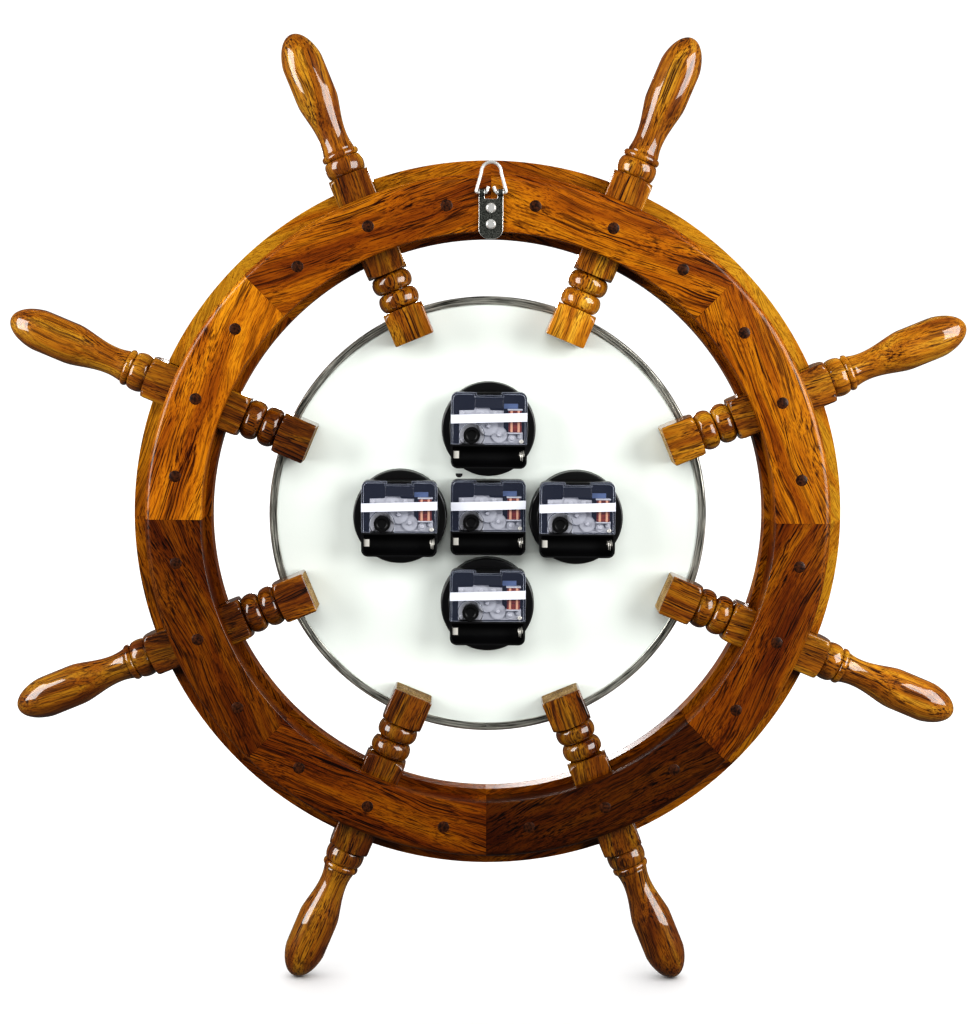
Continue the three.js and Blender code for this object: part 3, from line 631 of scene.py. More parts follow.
def merge(*parts: Mesh) -> Mesh:
    """Puts several meshes into the first one and frees the others.

    Args:
        *parts: the meshes.

    Returns:
        The first mesh.
    """
    whole = parts[0]
    for part in parts[1:]:
        spare = bpy.data.meshes.new("spare")
        part.to_mesh(spare)
        part.free()
        whole.from_mesh(spare)
        bpy.data.meshes.remove(spare)
    return whole


def moved(bm: Mesh, by: Matrix) -> Mesh:
    """Moves or turns a whole mesh and gives it back."""
    bmesh.ops.transform(bm, matrix=by, verts=bm.verts)
    return bm


def placed(name: str, data: bpy.types.ID) -> Piece:
    """Puts data into the scene as an object.

    Args:
        name: the object's name.
        data: its mesh, curve, light or camera.

    Returns:
        The object.
    """
    made = bpy.data.objects.new(name, data)
    bpy.context.scene.collection.objects.link(made)
    return made


def from_curve(curve: bpy.types.Curve) -> Mesh:
    """Makes a curve or a text into a mesh and removes it.

    Args:
        curve: the curve's data.

    Returns:
        Its mesh.
    """
    carrier = placed("carrier", curve)
    shaped = carrier.evaluated_get(bpy.context.evaluated_depsgraph_get())
    mesh = bpy.data.meshes.new_from_object(shaped)
    bm = bmesh.new()
    bm.from_mesh(mesh)
    bpy.data.objects.remove(carrier)
    bpy.data.curves.remove(curve)
    bpy.data.meshes.remove(mesh)
    mend(bm)
    return bm


def wire(points: Sequence[Vector], radius: float) -> Mesh:
    """A round wire along a smooth line.

    Args:
        points: the line's points.
        radius: the wire's radius.

    Returns:
        The wire, closed at both ends.
    """
    curve = bpy.data.curves.new("wire", "CURVE")
    curve.dimensions = "3D"
    curve.bevel_depth = radius
    curve.bevel_resolution = 3
    curve.use_fill_caps = True
    line = curve.splines.new("POLY")
    line.points.add(len(points) - 1)
    for target, point in zip(line.points, points):
        target.co = (*point, 1.0)
    return from_curve(curve)


def plank(bm: Mesh, axes: tuple[int, int, int], rng: random.Random, tone: Share, sap: Share) -> None:
    """Writes down where each point of a wooden piece lay in its plank.

    Args:
        bm: the mesh, still in its own frame.
        axes: which axis runs along the grain, across it and through the plank.
        rng: draws the place of the piece in the plank.
        tone: how light the piece is drawn at a point, partly its plank's own tone and partly painted shade.
        sap: the share of sapwood at a point.
    """
    grain = bm.verts.layers.float_vector.new("grain")
    tones_and_shade = bm.verts.layers.float_vector.new("tone")
    saps = bm.verts.layers.float.new("sap")
    start = Vector((rng.uniform(-4000, 4000), rng.uniform(40, 130), rng.uniform(-60, 60)))
    slope = math.tan(math.radians(rng.uniform(-7, 7)))
    for vert in bm.verts:
        along, across, through = (vert.co[axis] for axis in axes)
        vert[grain] = start + Vector((along, across + along * slope, through + along * slope))
        light = tone(vert.co)
        vert[tones_and_shade] = Vector((light, 1 + min(max(DEEPENS * (1 - light), 0), DEEPEST), 0))
        vert[saps] = sap(vert.co)


def publish(bm: Mesh, tag: Tag | str, finish: Finish, place: Matrix = Matrix()) -> Piece:
    """Turns a mesh into a finished piece that rides on its body.

    Args:
        bm: the mesh in millimetres; it is freed.
        tag: the piece's tag, or its name if it stands for no CAD node.
        finish: its material.
        place: where it goes in the frame.

    Returns:
        The piece, with its place in its mesh.
    """
    tag = Tag(tag) if isinstance(tag, str) else tag
    moved(bm, Matrix.Scale(MM, 4) @ place)
    for face in bm.faces:
        face.smooth = True
    for edge in bm.edges:
        edge.smooth = len(edge.link_faces) == 2 and edge.calc_face_angle(0.0) < SMOOTH_BELOW
    mesh = bpy.data.meshes.new(tag.name)
    bm.to_mesh(mesh)
    bm.free()
    mesh.materials.append(finish.material())
    piece = placed(tag.name, mesh)
    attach(piece, tag.body)
    if tag.replaces:
        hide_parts(*tag.replaces)
    LOG.info("%s rides on %s", tag.name, tag.body)
    return piece


def eased(piece: Piece, width: float, segments: int = 2, edge: Finish | None = None) -> None:
    """Rounds a piece's sharp edges a little, as moulding or pressing does.

    Args:
        piece: the piece.
        width: the rounding in millimetres.
        segments: how many steps it has.
        edge: the finish of the rounded edges, if they differ.
    """
    bevel = piece.modifiers.new("eased", "BEVEL")
    bevel.width = width * MM
    bevel.segments = segments
    bevel.limit_method = "ANGLE"
    bevel.angle_limit = EASED_ABOVE
    if edge:
        piece.data.materials.append(edge.material())
        bevel.material = len(piece.data.materials) - 1


def limits(node_name: str) -> tuple[Vector, Vector]:
    """A CAD node's lowest and highest corner in millimetres."""
    low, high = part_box(node_name)
    return low / MM, high / MM


def middle(node_name: str) -> Vector:
    """The middle of a CAD node's box in millimetres."""
    low, high = limits(node_name)
    return (low + high) / 2


@dataclass
class Ring:
    """One of the rim's two rings, made of felloes that are let over the spokes."""

    name: str
    inner: float
    outer: float
    inner_round: float
    outer_round: float
    lip: float | None = None  # radius where the other ring's edge hides this one
    count: int = 8
    channel_half: float = 15.3
    joint_gap: float = 0.0
    steps: int = 24

    def __post_init__(self) -> None:
        """Reads the ring's depth from the frame."""
        axis = middle("spoke_1").y
        faces = [corner.y for corner in limits(f"{self.name}_1")]
        self.open_face, self.closed_face = sorted(faces, key=lambda y: abs(y - axis))
        self.depth = abs(self.closed_face - self.open_face)
        self.side = math.copysign(1, self.closed_face - self.open_face)
        self.floor = self.channel_half - abs(self.open_face - axis)

    def section(self) -> Outline:
        """The ring's section.

        Returns:
            Points of (radius, depth from the open face).
        """
        inner, outer, deep = self.inner, self.outer, self.depth
        lip = [(self.lip, 0.0)] if self.lip else []
        return [
            *lip, (inner, 0.0), (inner, self.floor),
            *arc((inner + self.inner_round, deep - self.inner_round), self.inner_round, 180, 90),
            *arc((outer - self.outer_round, deep - self.outer_round), self.outer_round, 90, 0),
            (outer, self.floor), (outer, 0.0),
        ]  # fmt: skip

    def felloe(self) -> Mesh:
        """One felloe round +Z, with the channel for its spoke.

        Returns:
            The felloe in the ring's frame.
        """
        half = math.pi / self.count - math.atan(self.joint_gap / 2 / self.outer)
        bm = bmesh.new()
        edges = loop(bm, [self.spot(r, s, -half) for r, s in self.section()])
        bmesh.ops.spin(bm, geom=[*bm.verts, *edges], axis=(0, 1, 0), angle=2 * half, steps=self.steps)
        self.square_up(bm, half)
        self.cut_channel(bm)
        mend(bm)
        return bm

    def spot(self, radius: float, depth: float, angle: float) -> Vector:
        """A point of the ring from its radius, depth and angle."""
        y = self.open_face + self.side * depth
        return Vector((radius * math.sin(angle), y, radius * math.cos(angle)))

    def square_up(self, bm: Mesh, half: float) -> None:
        """Slides the two columns beside the spoke onto the channel's straight walls.

        Args:
            bm: the spun felloe.
            half: half the felloe's angle.
        """
        step = 2 * half / self.steps
        beside = round(math.asin(2 * self.channel_half / (self.inner + self.outer)) / step) * step
        for vert in bm.verts:
            angle = math.atan2(vert.co.x, vert.co.z)
            if abs(abs(angle) - beside) < step / 4:
                radius = math.hypot(vert.co.x, vert.co.z)
                vert.co.x = math.copysign(self.channel_half, vert.co.x)
                vert.co.z = math.sqrt(radius**2 - self.channel_half**2)

    def cut_channel(self, bm: Mesh) -> None:
        """Opens the channel and closes its floor, its walls and the felloe's ends.

        Args:
            bm: the felloe.
        """

        def depth_of(spot: Vector) -> float:
            """Depth of a point from the open face."""
            return (spot.y - self.open_face) * self.side

        def in_channel(face: Face) -> bool:
            """Whether a face lies where the spoke goes through."""
            spot = face.calc_center_median()
            return abs(spot.x) < self.channel_half and depth_of(spot) < self.floor - NEAR

        def on_floor(vert: Vert) -> bool:
            """Whether a vertex lies on the channel's floor."""
            return abs(vert.co.x) < self.channel_half + NEAR and abs(depth_of(vert.co) - self.floor) < NEAR

        bmesh.ops.delete(bm, geom=[f for f in bm.faces if in_channel(f)], context="FACES")
        rows = [e for e in bm.edges if e.is_boundary and all(map(on_floor, e.verts))]
        bmesh.ops.bridge_loops(bm, edges=rows)
        close(bm)


@dataclass
class Rim:
    """The wheel's rim: a back ring pinned with dowels over a wider front ring."""

    dowel_radius: float = 4.3
    dowel_edge: float = 0.3
    dowel_from_joint: float = 32.0
    dowel_stand: float = 0.15
    back: Ring = field(
        default_factory=lambda: Ring("rim_back_felloe", 210.5, 252.0, 1.0, 5.0, joint_gap=0.12)
    )
    front: Ring = field(default_factory=lambda: Ring("rim_front_felloe", 206.0, 263.0, 7.0, 7.0, lip=253.0))
    # How light each back felloe and each step round the front ring is drawn: partly the wood's own tone,
    # partly painted shade that darkens the felloes towards the bottom of the wheel.
    back_tones_and_shade: tuple[float, ...] = (0.67, 0.89, 0.31, 0.44, 0.17, 0.47, 0.73, 0.73)
    front_tones_and_shade: tuple[float, ...] = (
        0.6, 0.8, 0.9, 0.9, 0.62, 0.56, 0.52, 0.52, 0.52, 0.56, 0.68, 0.85, 0.95, 0.9, 0.95, 0.76,
    )  # fmt: skip
    front_sap: tuple[float, ...] = (0.1, 0.6, 1.0, 0.8, 0.1, 0, 0, 0, 0, 0, 0.2, 0.6, 1.0, 0.8, 1.0, 0.5)
    inner_sap: float = 0.1
    # painted shade on the front ring's lip where it shows inside the back ring
    inner_lip_shade: float = 0.7

    def build(self) -> None:
        """Makes the felloes of both rings and the dowel pegs."""
        rng = random.Random(SEED)
        for index in range(self.back.count):
            turn = spun(FULL_TURN * (index + 0.5) / self.back.count)
            looks = [
                (self.back, lambda co: self.back_tones_and_shade[index], lambda co: 0.0),
                (self.front, self.front_tone_and_shade(index), self.front_sapwood(index)),
            ]
            for ring, tone, sap in looks:
                bm = ring.felloe()
                plank(bm, (0, 2, 1), rng, tone, sap)
                publish(bm, Tag.of(f"{ring.name}_{index + 1}", "wood", Slot.RIM_WOOD), RIM_WOOD, turn)
            self.pegs(index, turn)

    def around(self, values: Sequence[float], index: int, co: Vector) -> float:
        """A value that changes round the wheel.

        Args:
            values: the values at even steps, clockwise as seen from the room, from the top.
            index: the felloe's number.
            co: a point of the felloe in its own frame.

        Returns:
            The value between the two nearest steps.
        """
        turn = (index + 0.5) / self.back.count + math.atan2(co.x, co.z) / FULL_TURN
        step = (turn % 1) * len(values)
        first = int(step) % len(values)
        share = step - int(step)
        return values[first] * (1 - share) + values[(first + 1) % len(values)] * share

    def front_tone_and_shade(self, index: int) -> Share:
        """How light a front felloe is drawn: its tone round the wheel, with painted shade on the lip that
        shows inside the back ring.

        Args:
            index: the felloe's number.

        Returns:
            The tone at a point.
        """

        def tone(co: Vector) -> float:
            """The tone at a point, with painted shade on the lip inside the back ring."""
            inside = math.hypot(co.x, co.z) < self.back.inner
            return self.around(self.front_tones_and_shade, index, co) * (self.inner_lip_shade if inside else 1.0)

        return tone

    def front_sapwood(self, index: int) -> Share:
        """Where a front felloe turns to sapwood: along its outer edge.

        Args:
            index: the felloe's number.

        Returns:
            The share of sapwood at a point.
        """

        def sap(co: Vector) -> float:
            """The share at a point."""
            outside = math.hypot(co.x, co.z) > self.front.lip - 1
            return self.around(self.front_sap, index, co) if outside else self.inner_sap

        return sap

    def pegs(self, index: int, turn: Matrix) -> None:
        """Makes the three dowel pegs of a back felloe.

        Args:
            index: the felloe's number.
            turn: the felloe's turn round the wheel.
        """
        pitch = (self.back.inner + self.back.outer) / 2
        side = math.pi / self.back.count - math.asin(self.dowel_from_joint / pitch)
        radius, face = self.dowel_radius, self.back.closed_face
        sunk, proud = face - radius, face + self.dowel_stand
        profile = [(0, sunk), (radius, sunk), (radius, face), (radius - self.dowel_edge, proud), (0, proud)]
        for number, angle in enumerate((-side, 0.0, side), start=1):
            bm = revolve(profile, steps=28, closed=False)
            spot = turn @ spun(angle) @ shift((0, 0, pitch))
            publish(bm, f"rim_dowel_{index + 1}_{number}", DOWEL_WOOD, spot)


@dataclass
class Spokes:
    """Eight spokes: a square on the dial, two beads, a square in the rim and a turned handle.

    A station is (place along the spoke, lathe radius, inset of the square).
    """

    count: int = 8
    square_half: float = 15.0
    corner_round: float = 1.4
    inner_radius: float = 143.0
    inner_square: float = 25.0
    inner_edge: tuple[Point, ...] = ((0, 1.1), (0.3, 0.4), (1.0, 0))  # place and inset of the sawn end's edge
    bead_length: float = 13.6
    bead_radius: float = 15.0
    bead_neck: float = 9.6
    bead_gap: float = 0.05
    bead_fullness: float = 0.85
    rim_end: float = 272.0
    pommel: float = 6.5  # length of the rounded shoulder that the lathe leaves on a square
    pommel_face: float = 15.1
    handle_bead: float = 13.0
    handle_bead_radius: float = 14.5
    groove_radius: float = 11.4
    collar_length: float = 5.0
    collar_radius: float = 13.7
    neck_radius: float = 10.4
    cove: float = 11.0
    cove_radius: float = 12.0
    swell_radius: float = 15.8
    full: float = 12.0  # length of the handle's thickest stretch
    nose: float = 30.0
    tip_radius: float = 380.7
    beyond: float = 30.0  # a limit past the square's corners, where the lathe took nothing off
    # Partly the wood's tone, partly painted shade that darkens the lower spokes' handles.
    tones_and_shade: tuple[tuple[float, float, float], ...] = (
        (0.62, 0.5, 0.78), (0.35, 0.62, 0.74), (0.57, 0.42, 0.58), (0.45, 0.4, 0.62),
        (0.47, 0.46, 0.56), (0.6, 0.73, 0.86), (0.78, 0.78, 0.9), (1.1, 0.78, 0.84),
    )  # of the inner square, the square in the rim and the handle

    def __post_init__(self) -> None:
        """Works out where the inner square ends."""
        self.inner_end = self.inner_radius + self.inner_square

    def build(self) -> None:
        """Makes the spokes round the wheel."""
        rng = random.Random(SEED + 1)
        for index in range(self.count):
            bm = self.spoke()
            plank(bm, (2, 0, 1), rng, self.tone_of(index), lambda co: 0.0)
            place = spun(FULL_TURN * (index + 0.5) / self.count) @ shift((0, middle("spoke_1").y, 0))
            tag = Tag.of(f"spoke_{index + 1}", "turned", Slot.TURNED_WOOD)
            publish(bm, tag, TURNED_WOOD, place).data.materials.append(SAWN_WOOD.material())

    def tone_of(self, index: int) -> Share:
        """How light a spoke is drawn along its length: partly its wood's tone, partly painted shade that
        darkens the lower spokes' handles.

        Args:
            index: the spoke's number.

        Returns:
            The tone at a point.
        """
        inner, rim, handle = self.tones_and_shade[index]

        def tone(co: Vector) -> float:
            """The tone at a point, changing over the beads.

            Args:
                co: the point.

            Returns:
                The tone.
            """
            past_inner = min(max((co.z - self.inner_end) / (2 * self.bead_length), 0), 1)
            past_rim = min(max((co.z - self.rim_end) / self.handle_bead, 0), 1)
            return inner + (rim - inner) * past_inner + (handle - rim) * past_rim

        return tone

    def shoulder(self, at: float, direction: int) -> list[Station]:
        """The rounded end of a square, from the flat to the shoulder's face.

        Args:
            at: where the square ends.
            direction: 1 if the turned stretch follows, -1 if it comes before.

        Returns:
            Its stations.
        """
        low, high = self.pommel_face, self.square_half * math.sqrt(2)
        stations = []
        for i in range(9):
            angle = math.radians(90 * i / 8)
            z = at - direction * self.pommel * (1 - math.sin(angle))
            stations.append((z, low + (high - low) * math.cos(angle), 0.0))
        return stations[::direction]

    def bead(self, start: float, length: float, radius: float, neck: float) -> list[Station]:
        """A round bead.

        Args:
            start: where it begins.
            length: how long it is.
            radius: its largest radius.
            neck: the radius of the grooves beside it.

        Returns:
            Its stations.
        """
        stations = []
        for i in range(17):
            angle = math.pi * i / 16
            swell = (radius - neck) * math.sin(angle) ** self.bead_fullness
            stations.append((start + length * (1 - math.cos(angle)) / 2, neck + swell, 0.0))
        return stations

    def stations(self) -> list[Station]:
        """The whole spoke.

        Returns:
            Its stations from the inner end to the tip.
        """
        collar = self.rim_end + self.handle_bead
        collar_end = collar + self.collar_length
        neck, neck_at = self.neck_radius, collar_end + self.cove
        nose_at = self.tip_radius - self.nose
        full_at = nose_at - self.full
        gap = self.bead_gap
        whole = [(self.inner_radius + d, self.beyond, i) for d, i in self.inner_edge]
        whole += self.shoulder(self.inner_end, 1)
        for start in (self.inner_end, self.inner_end + self.bead_length):
            whole += self.bead(start + gap, self.bead_length - 2 * gap, self.bead_radius, self.bead_neck)
        whole += self.shoulder(self.inner_end + 2 * self.bead_length, -1)
        whole += self.shoulder(self.rim_end, 1)
        first = self.handle_bead - 2 * gap
        whole += self.bead(self.rim_end + gap, first, self.handle_bead_radius, self.groove_radius)
        whole += self.bead(collar, self.collar_length, self.collar_radius, self.groove_radius)
        for share in (i / 10 for i in range(1, 11)):
            radius = neck + (self.cove_radius - neck) * (1 - share) ** 2
            whole.append((collar_end + self.cove * share, radius, 0.0))
        for share in (i / 24 for i in range(1, 25)):
            radius = neck + (self.swell_radius - neck) * (1 - math.cos(math.pi * share)) / 2
            whole.append((neck_at + (full_at - neck_at) * share, radius, 0.0))
        for angle in (math.radians(90 * i / 16) for i in range(16)):
            whole.append((nose_at + self.nose * math.sin(angle), self.swell_radius * math.cos(angle), 0.0))
        return whole

    def corner_angles(self) -> list[float]:
        """The angles round a section: even on the flats and close together on the corners.

        Returns:
            The angles, counterclockwise from +X.
        """
        first = math.degrees(math.atan2(self.square_half - self.corner_round, self.square_half))
        octant = [first * i / 6 for i in range(7)] + [(first + 45) / 2]
        quarter = [*octant, 45.0, *[90 - a for a in octant[:0:-1]]]
        return [math.radians(90 * q + a) for q in range(4) for a in quarter]

    def square_reach(self, angle: float, inset: float) -> float:
        """How far the rounded square reaches at an angle.

        Args:
            angle: the angle round the spoke.
            inset: how much the square is drawn in.

        Returns:
            The distance from the spoke's axis.
        """
        half = self.square_half - inset
        core = (half - self.corner_round) * math.sqrt(2)
        off = (angle % (math.pi / 2)) - math.pi / 4
        flat = half / max(abs(math.cos(angle)), abs(math.sin(angle)))
        if abs(core * math.sin(off)) >= self.corner_round:
            return flat
        return min(flat, core * math.cos(off) + math.sqrt(self.corner_round**2 - (core * math.sin(off)) ** 2))

    def spoke(self) -> Mesh:
        """One spoke along +Z, extruded ring by ring.

        Returns:
            The spoke, with the wheel's centre at z = 0.
        """
        bm = bmesh.new()
        angles = self.corner_angles()
        ring = bmesh.ops.create_circle(bm, cap_ends=True, segments=len(angles), radius=1.0)["verts"]
        edges = bm.edges[:]
        ring.sort(key=lambda v: math.atan2(v.co.y, v.co.x) % FULL_TURN)
        for vert, angle in zip(ring, angles):
            vert.co = Vector((*polar(1, angle), 0))
        for number, (z, radius, inset) in enumerate(self.stations()):
            if number:
                ring, edges = grow(bm, edges)
            for vert in ring:
                angle = math.atan2(vert.co.y, vert.co.x)
                vert.co = Vector((*polar(min(radius, self.square_reach(angle, inset)), angle), z))
        last, _ = grow(bm, edges)
        bmesh.ops.pointmerge(bm, verts=last, merge_co=(0, 0, self.tip_radius))
        mend(bm)
        sawn = max(bm.faces, key=lambda face: len(face.verts))
        sawn.material_index = 1
        return bm


@dataclass
class Ink:
    """Print on a face that looks along -Y."""

    face: float
    thickness: float

    def bars(self, count: int, radius: float, length: float, width: float) -> Mesh:
        """A ring of bars.

        Args:
            count: how many bars.
            radius: the distance of their middles from the centre.
            length: their radial length.
            width: their width.

        Returns:
            The bars' mesh.
        """
        bm = bmesh.new()
        spot = (0, self.face - self.thickness / 2, radius)
        for index in range(count):
            block(bm, (width, self.thickness, length), spot, spun(FULL_TURN * index / count))
        return bm

    def figures(self, whole: Mesh, hours: Iterable[int], radius: float, height: float) -> Mesh:
        """Adds the numbers of some hours.

        Args:
            whole: the mesh that gets them.
            hours: the hours.
            radius: the distance of their middles from the centre.
            height: the text's size.

        Returns:
            The mesh.
        """
        for hour in hours:
            curve = bpy.data.curves.new("figure", "FONT")
            curve.body = str(hour)
            curve.size = height
            curve.align_x = curve.align_y = "CENTER"
            curve.extrude = self.thickness / 2
            z, x = polar(radius, FULL_TURN * hour / 12)
            upright = shift((x, self.face - self.thickness / 2, z)) @ spun(math.pi / 2, "X")
            merge(whole, moved(from_curve(curve), upright))
        return whole


@dataclass
class Dial:
    """The painted dial board, its metal band and its plain figures and marks on the front."""

    clearance: float = 0.3
    sheet: float = 1.2
    flange: float = 6.0
    flange_edge: float = 0.3
    lip: float = 7.0
    corner: float = 1.6
    groove: float = 2.4  # from the band's outer edge to the groove rolled into its flange
    groove_shape: tuple[Point, ...] = ((1.1, 0), (0.9, 0.7), (0, 0.7), (-0.2, 0))  # inwards and deep
    bush_hole: float = 4.3
    figure_height: float = 23.0
    figure_radius: float = 131.0
    track_radius: float = 150.0
    mark_length: float = 6.0
    hour_mark_width: float = 2.6
    minute_mark_width: float = 0.8
    print_height: float = 0.12
    half_moon: Point = (22.0, 31.4)  # a small dark half-moon on the board's back
    half_moon_radius: float = 2.6

    def __post_init__(self) -> None:
        """Reads the dial's and the band's limits from the frame."""
        low, high = limits("dial_bezel")
        self.radius = (high.x - low.x) / 2
        self.band_front, self.band_back = low.y, high.y
        self.front, self.back = (corner.y for corner in limits("dial_plate"))
        self.ink = Ink(self.front, self.print_height)

    def build(self) -> None:
        """Makes the board, the band, the figures and the marks."""
        board = self.radius - self.sheet - self.clearance
        cups = [middle(f"insert_cup_{place.label}") for place in Place if place is not Place.CENTRE]
        holes = [circle(Insert.radius + self.clearance, at.x, at.z, 72) for at in cups]
        outlines = [circle(board, steps=144), circle(self.bush_hole), *holes]
        tag = Tag("dial_board", slot=Slot.DIAL_PAINT, replaces=("dial_plate",))
        publish(slab(outlines, self.front, self.back), tag, DIAL_PAINT)
        tag = Tag("dial_band", slot=Slot.BAND_METAL, replaces=("dial_bezel",))
        publish(revolve(self.band_section(), 180), tag, BAND_METAL)
        figures = self.ink.figures(bmesh.new(), range(1, 13), self.figure_radius, self.figure_height)
        publish(figures, "dial_figures", DIAL_INK)
        self.print_track()
        mark = arc(self.half_moon, self.half_moon_radius, 170, 370, 16)
        publish(slab([mark], self.back, self.back + self.print_height), "dial_back_mark", DIAL_INK)

    def band_section(self) -> Outline:
        """The band's rolled section.

        Returns:
            A flange behind, a wall round the board and a lip in front.
        """
        outer, bend = self.radius, self.corner
        wall, flange = outer - self.sheet, outer - self.flange
        back, front, sheet, edge = self.band_back, self.band_front, self.sheet, self.flange_edge
        return [
            (flange, back - edge),
            (flange + edge, back),
            *[(outer - self.groove - off, back - deep) for off, deep in self.groove_shape],
            *arc((outer - bend, back - bend), bend, 90, 0),
            *arc((outer - bend, front + bend), bend, 0, -90),
            (outer - self.lip, front),
            (outer - self.lip, front + sheet),
            (wall, front + sheet),
            (wall, back - sheet),
            (flange, back - sheet),
        ]

    def print_track(self) -> None:
        """Prints the minute marks and the track's two thin circles."""
        whole = self.ink.bars(60, self.track_radius, self.mark_length, self.minute_mark_width)
        merge(whole, self.ink.bars(12, self.track_radius, self.mark_length, self.hour_mark_width))
        front, half = self.front - self.print_height, self.minute_mark_width / 2
        for off in (-self.mark_length / 2, self.mark_length / 2):
            low, high = self.track_radius + off - half, self.track_radius + off + half
            merge(whole, revolve([(low, self.front), (high, self.front), (high, front), (low, front)], 180))
        publish(whole, "dial_minute_track", DIAL_INK)


@dataclass
class Insert:
    """A small clock in its black cup: the cup, a card dial, a brass bezel and a glass."""

    place: Place
    radius: float = 35.0
    wall: float = 1.6
    base: float = 2.0
    base_ring: float = 6.0  # width of the low step round the cup's back
    base_step: float = 0.35
    flange: float = 40.0
    flange_sheet: float = 2.5
    bush_hole: float = 4.3
    edge: float = 1.2
    figure_height: float = 7.0
    figure_radius: float = 23.5
    track_radius: float = 29.5
    mark_length: float = 4.0
    mark_width: float = 0.9
    print_height: float = 0.08
    card: float = 0.4
    card_play: float = 0.2
    card_depth: float = 8.4  # from the cup's back to the card, just behind the hands
    glass: float = 1.6
    glass_rise: float = 1.6
    glass_inset: float = 2.0
    bezel_half: float = 3.4
    bezel_out: float = 1.2
    bezel_inset: float = 0.4
    bezel_height: float = 1.8  # low enough for the middle clock's hands to pass over

    def __post_init__(self) -> None:
        """Reads the cup's place from the frame."""
        self.node_name = f"insert_cup_{self.place.label}"
        self.front, self.back = (corner.y for corner in limits(self.node_name))
        at = middle(self.node_name)
        self.at = shift((at.x, 0, at.z))

    def build(self) -> None:
        """Makes the cup, the card with its figures, the bezel and the glass."""
        face = self.back - self.card_depth
        inside = self.radius - self.wall - self.card_play
        ink = Ink(face - self.card, self.print_height)
        bars = ink.bars(12, self.track_radius, self.mark_length, self.mark_width)
        round_wire = arc((self.radius + self.bezel_out, 0.0), self.bezel_half, 200, 340, 14)
        flat, lens = self.bezel_height / self.bezel_half, self.radius - self.glass_inset
        bezel = [(lens, self.front), *[(r, self.front + y * flat) for r, y in round_wire]]
        dome = [(lens * s, self.front - self.glass_rise * (1 - s * s)) for s in (0, 0.25, 0.5, 0.75, 1)]
        under = [(r, y + self.glass) for r, y in reversed(dome)]
        cup = Tag.of(self.node_name, "moulded", Slot.BLACK_PLASTIC)
        publish(revolve(self.cup_section()), cup, BLACK_ABS, self.at)
        card = [circle(inside, steps=72), circle(self.bush_hole)]
        pieces = [
            ("dial_card", slab(card, ink.face, face), DIAL_CARD),
            ("figures", ink.figures(bars, (3, 6, 9, 12), self.figure_radius, self.figure_height), DIAL_INK),
            ("bezel", revolve([*bezel, (self.flange - self.bezel_inset, self.front)]), BRASS),
            ("glass", revolve([*dome, *under], 72, closed=False), LENS_GLASS),
        ]
        for name, bm, finish in pieces:
            publish(bm, f"insert_{name}_{self.place.label}", finish, self.at)

    def cup_section(self) -> Outline:
        """The cup's section.

        Returns:
            Its outline, with a rounded back edge and a flange in front.
        """
        shoulder = self.front + self.flange_sheet
        step, floor = self.back - self.base_step, self.back - self.base
        ring = self.radius - self.base_ring
        return [
            (self.bush_hole, self.back),
            (ring, self.back),
            (ring + 0.4, step),
            (self.radius - self.edge - 1.0, step),
            *arc((self.radius - self.edge, step - self.edge), self.edge, 90, 0, 4),
            (self.radius, shoulder),
            (self.flange, shoulder),
            (self.flange, self.front),
            (self.radius - self.wall, self.front),
            (self.radius - self.wall, floor),
            (self.bush_hole, floor),
        ]


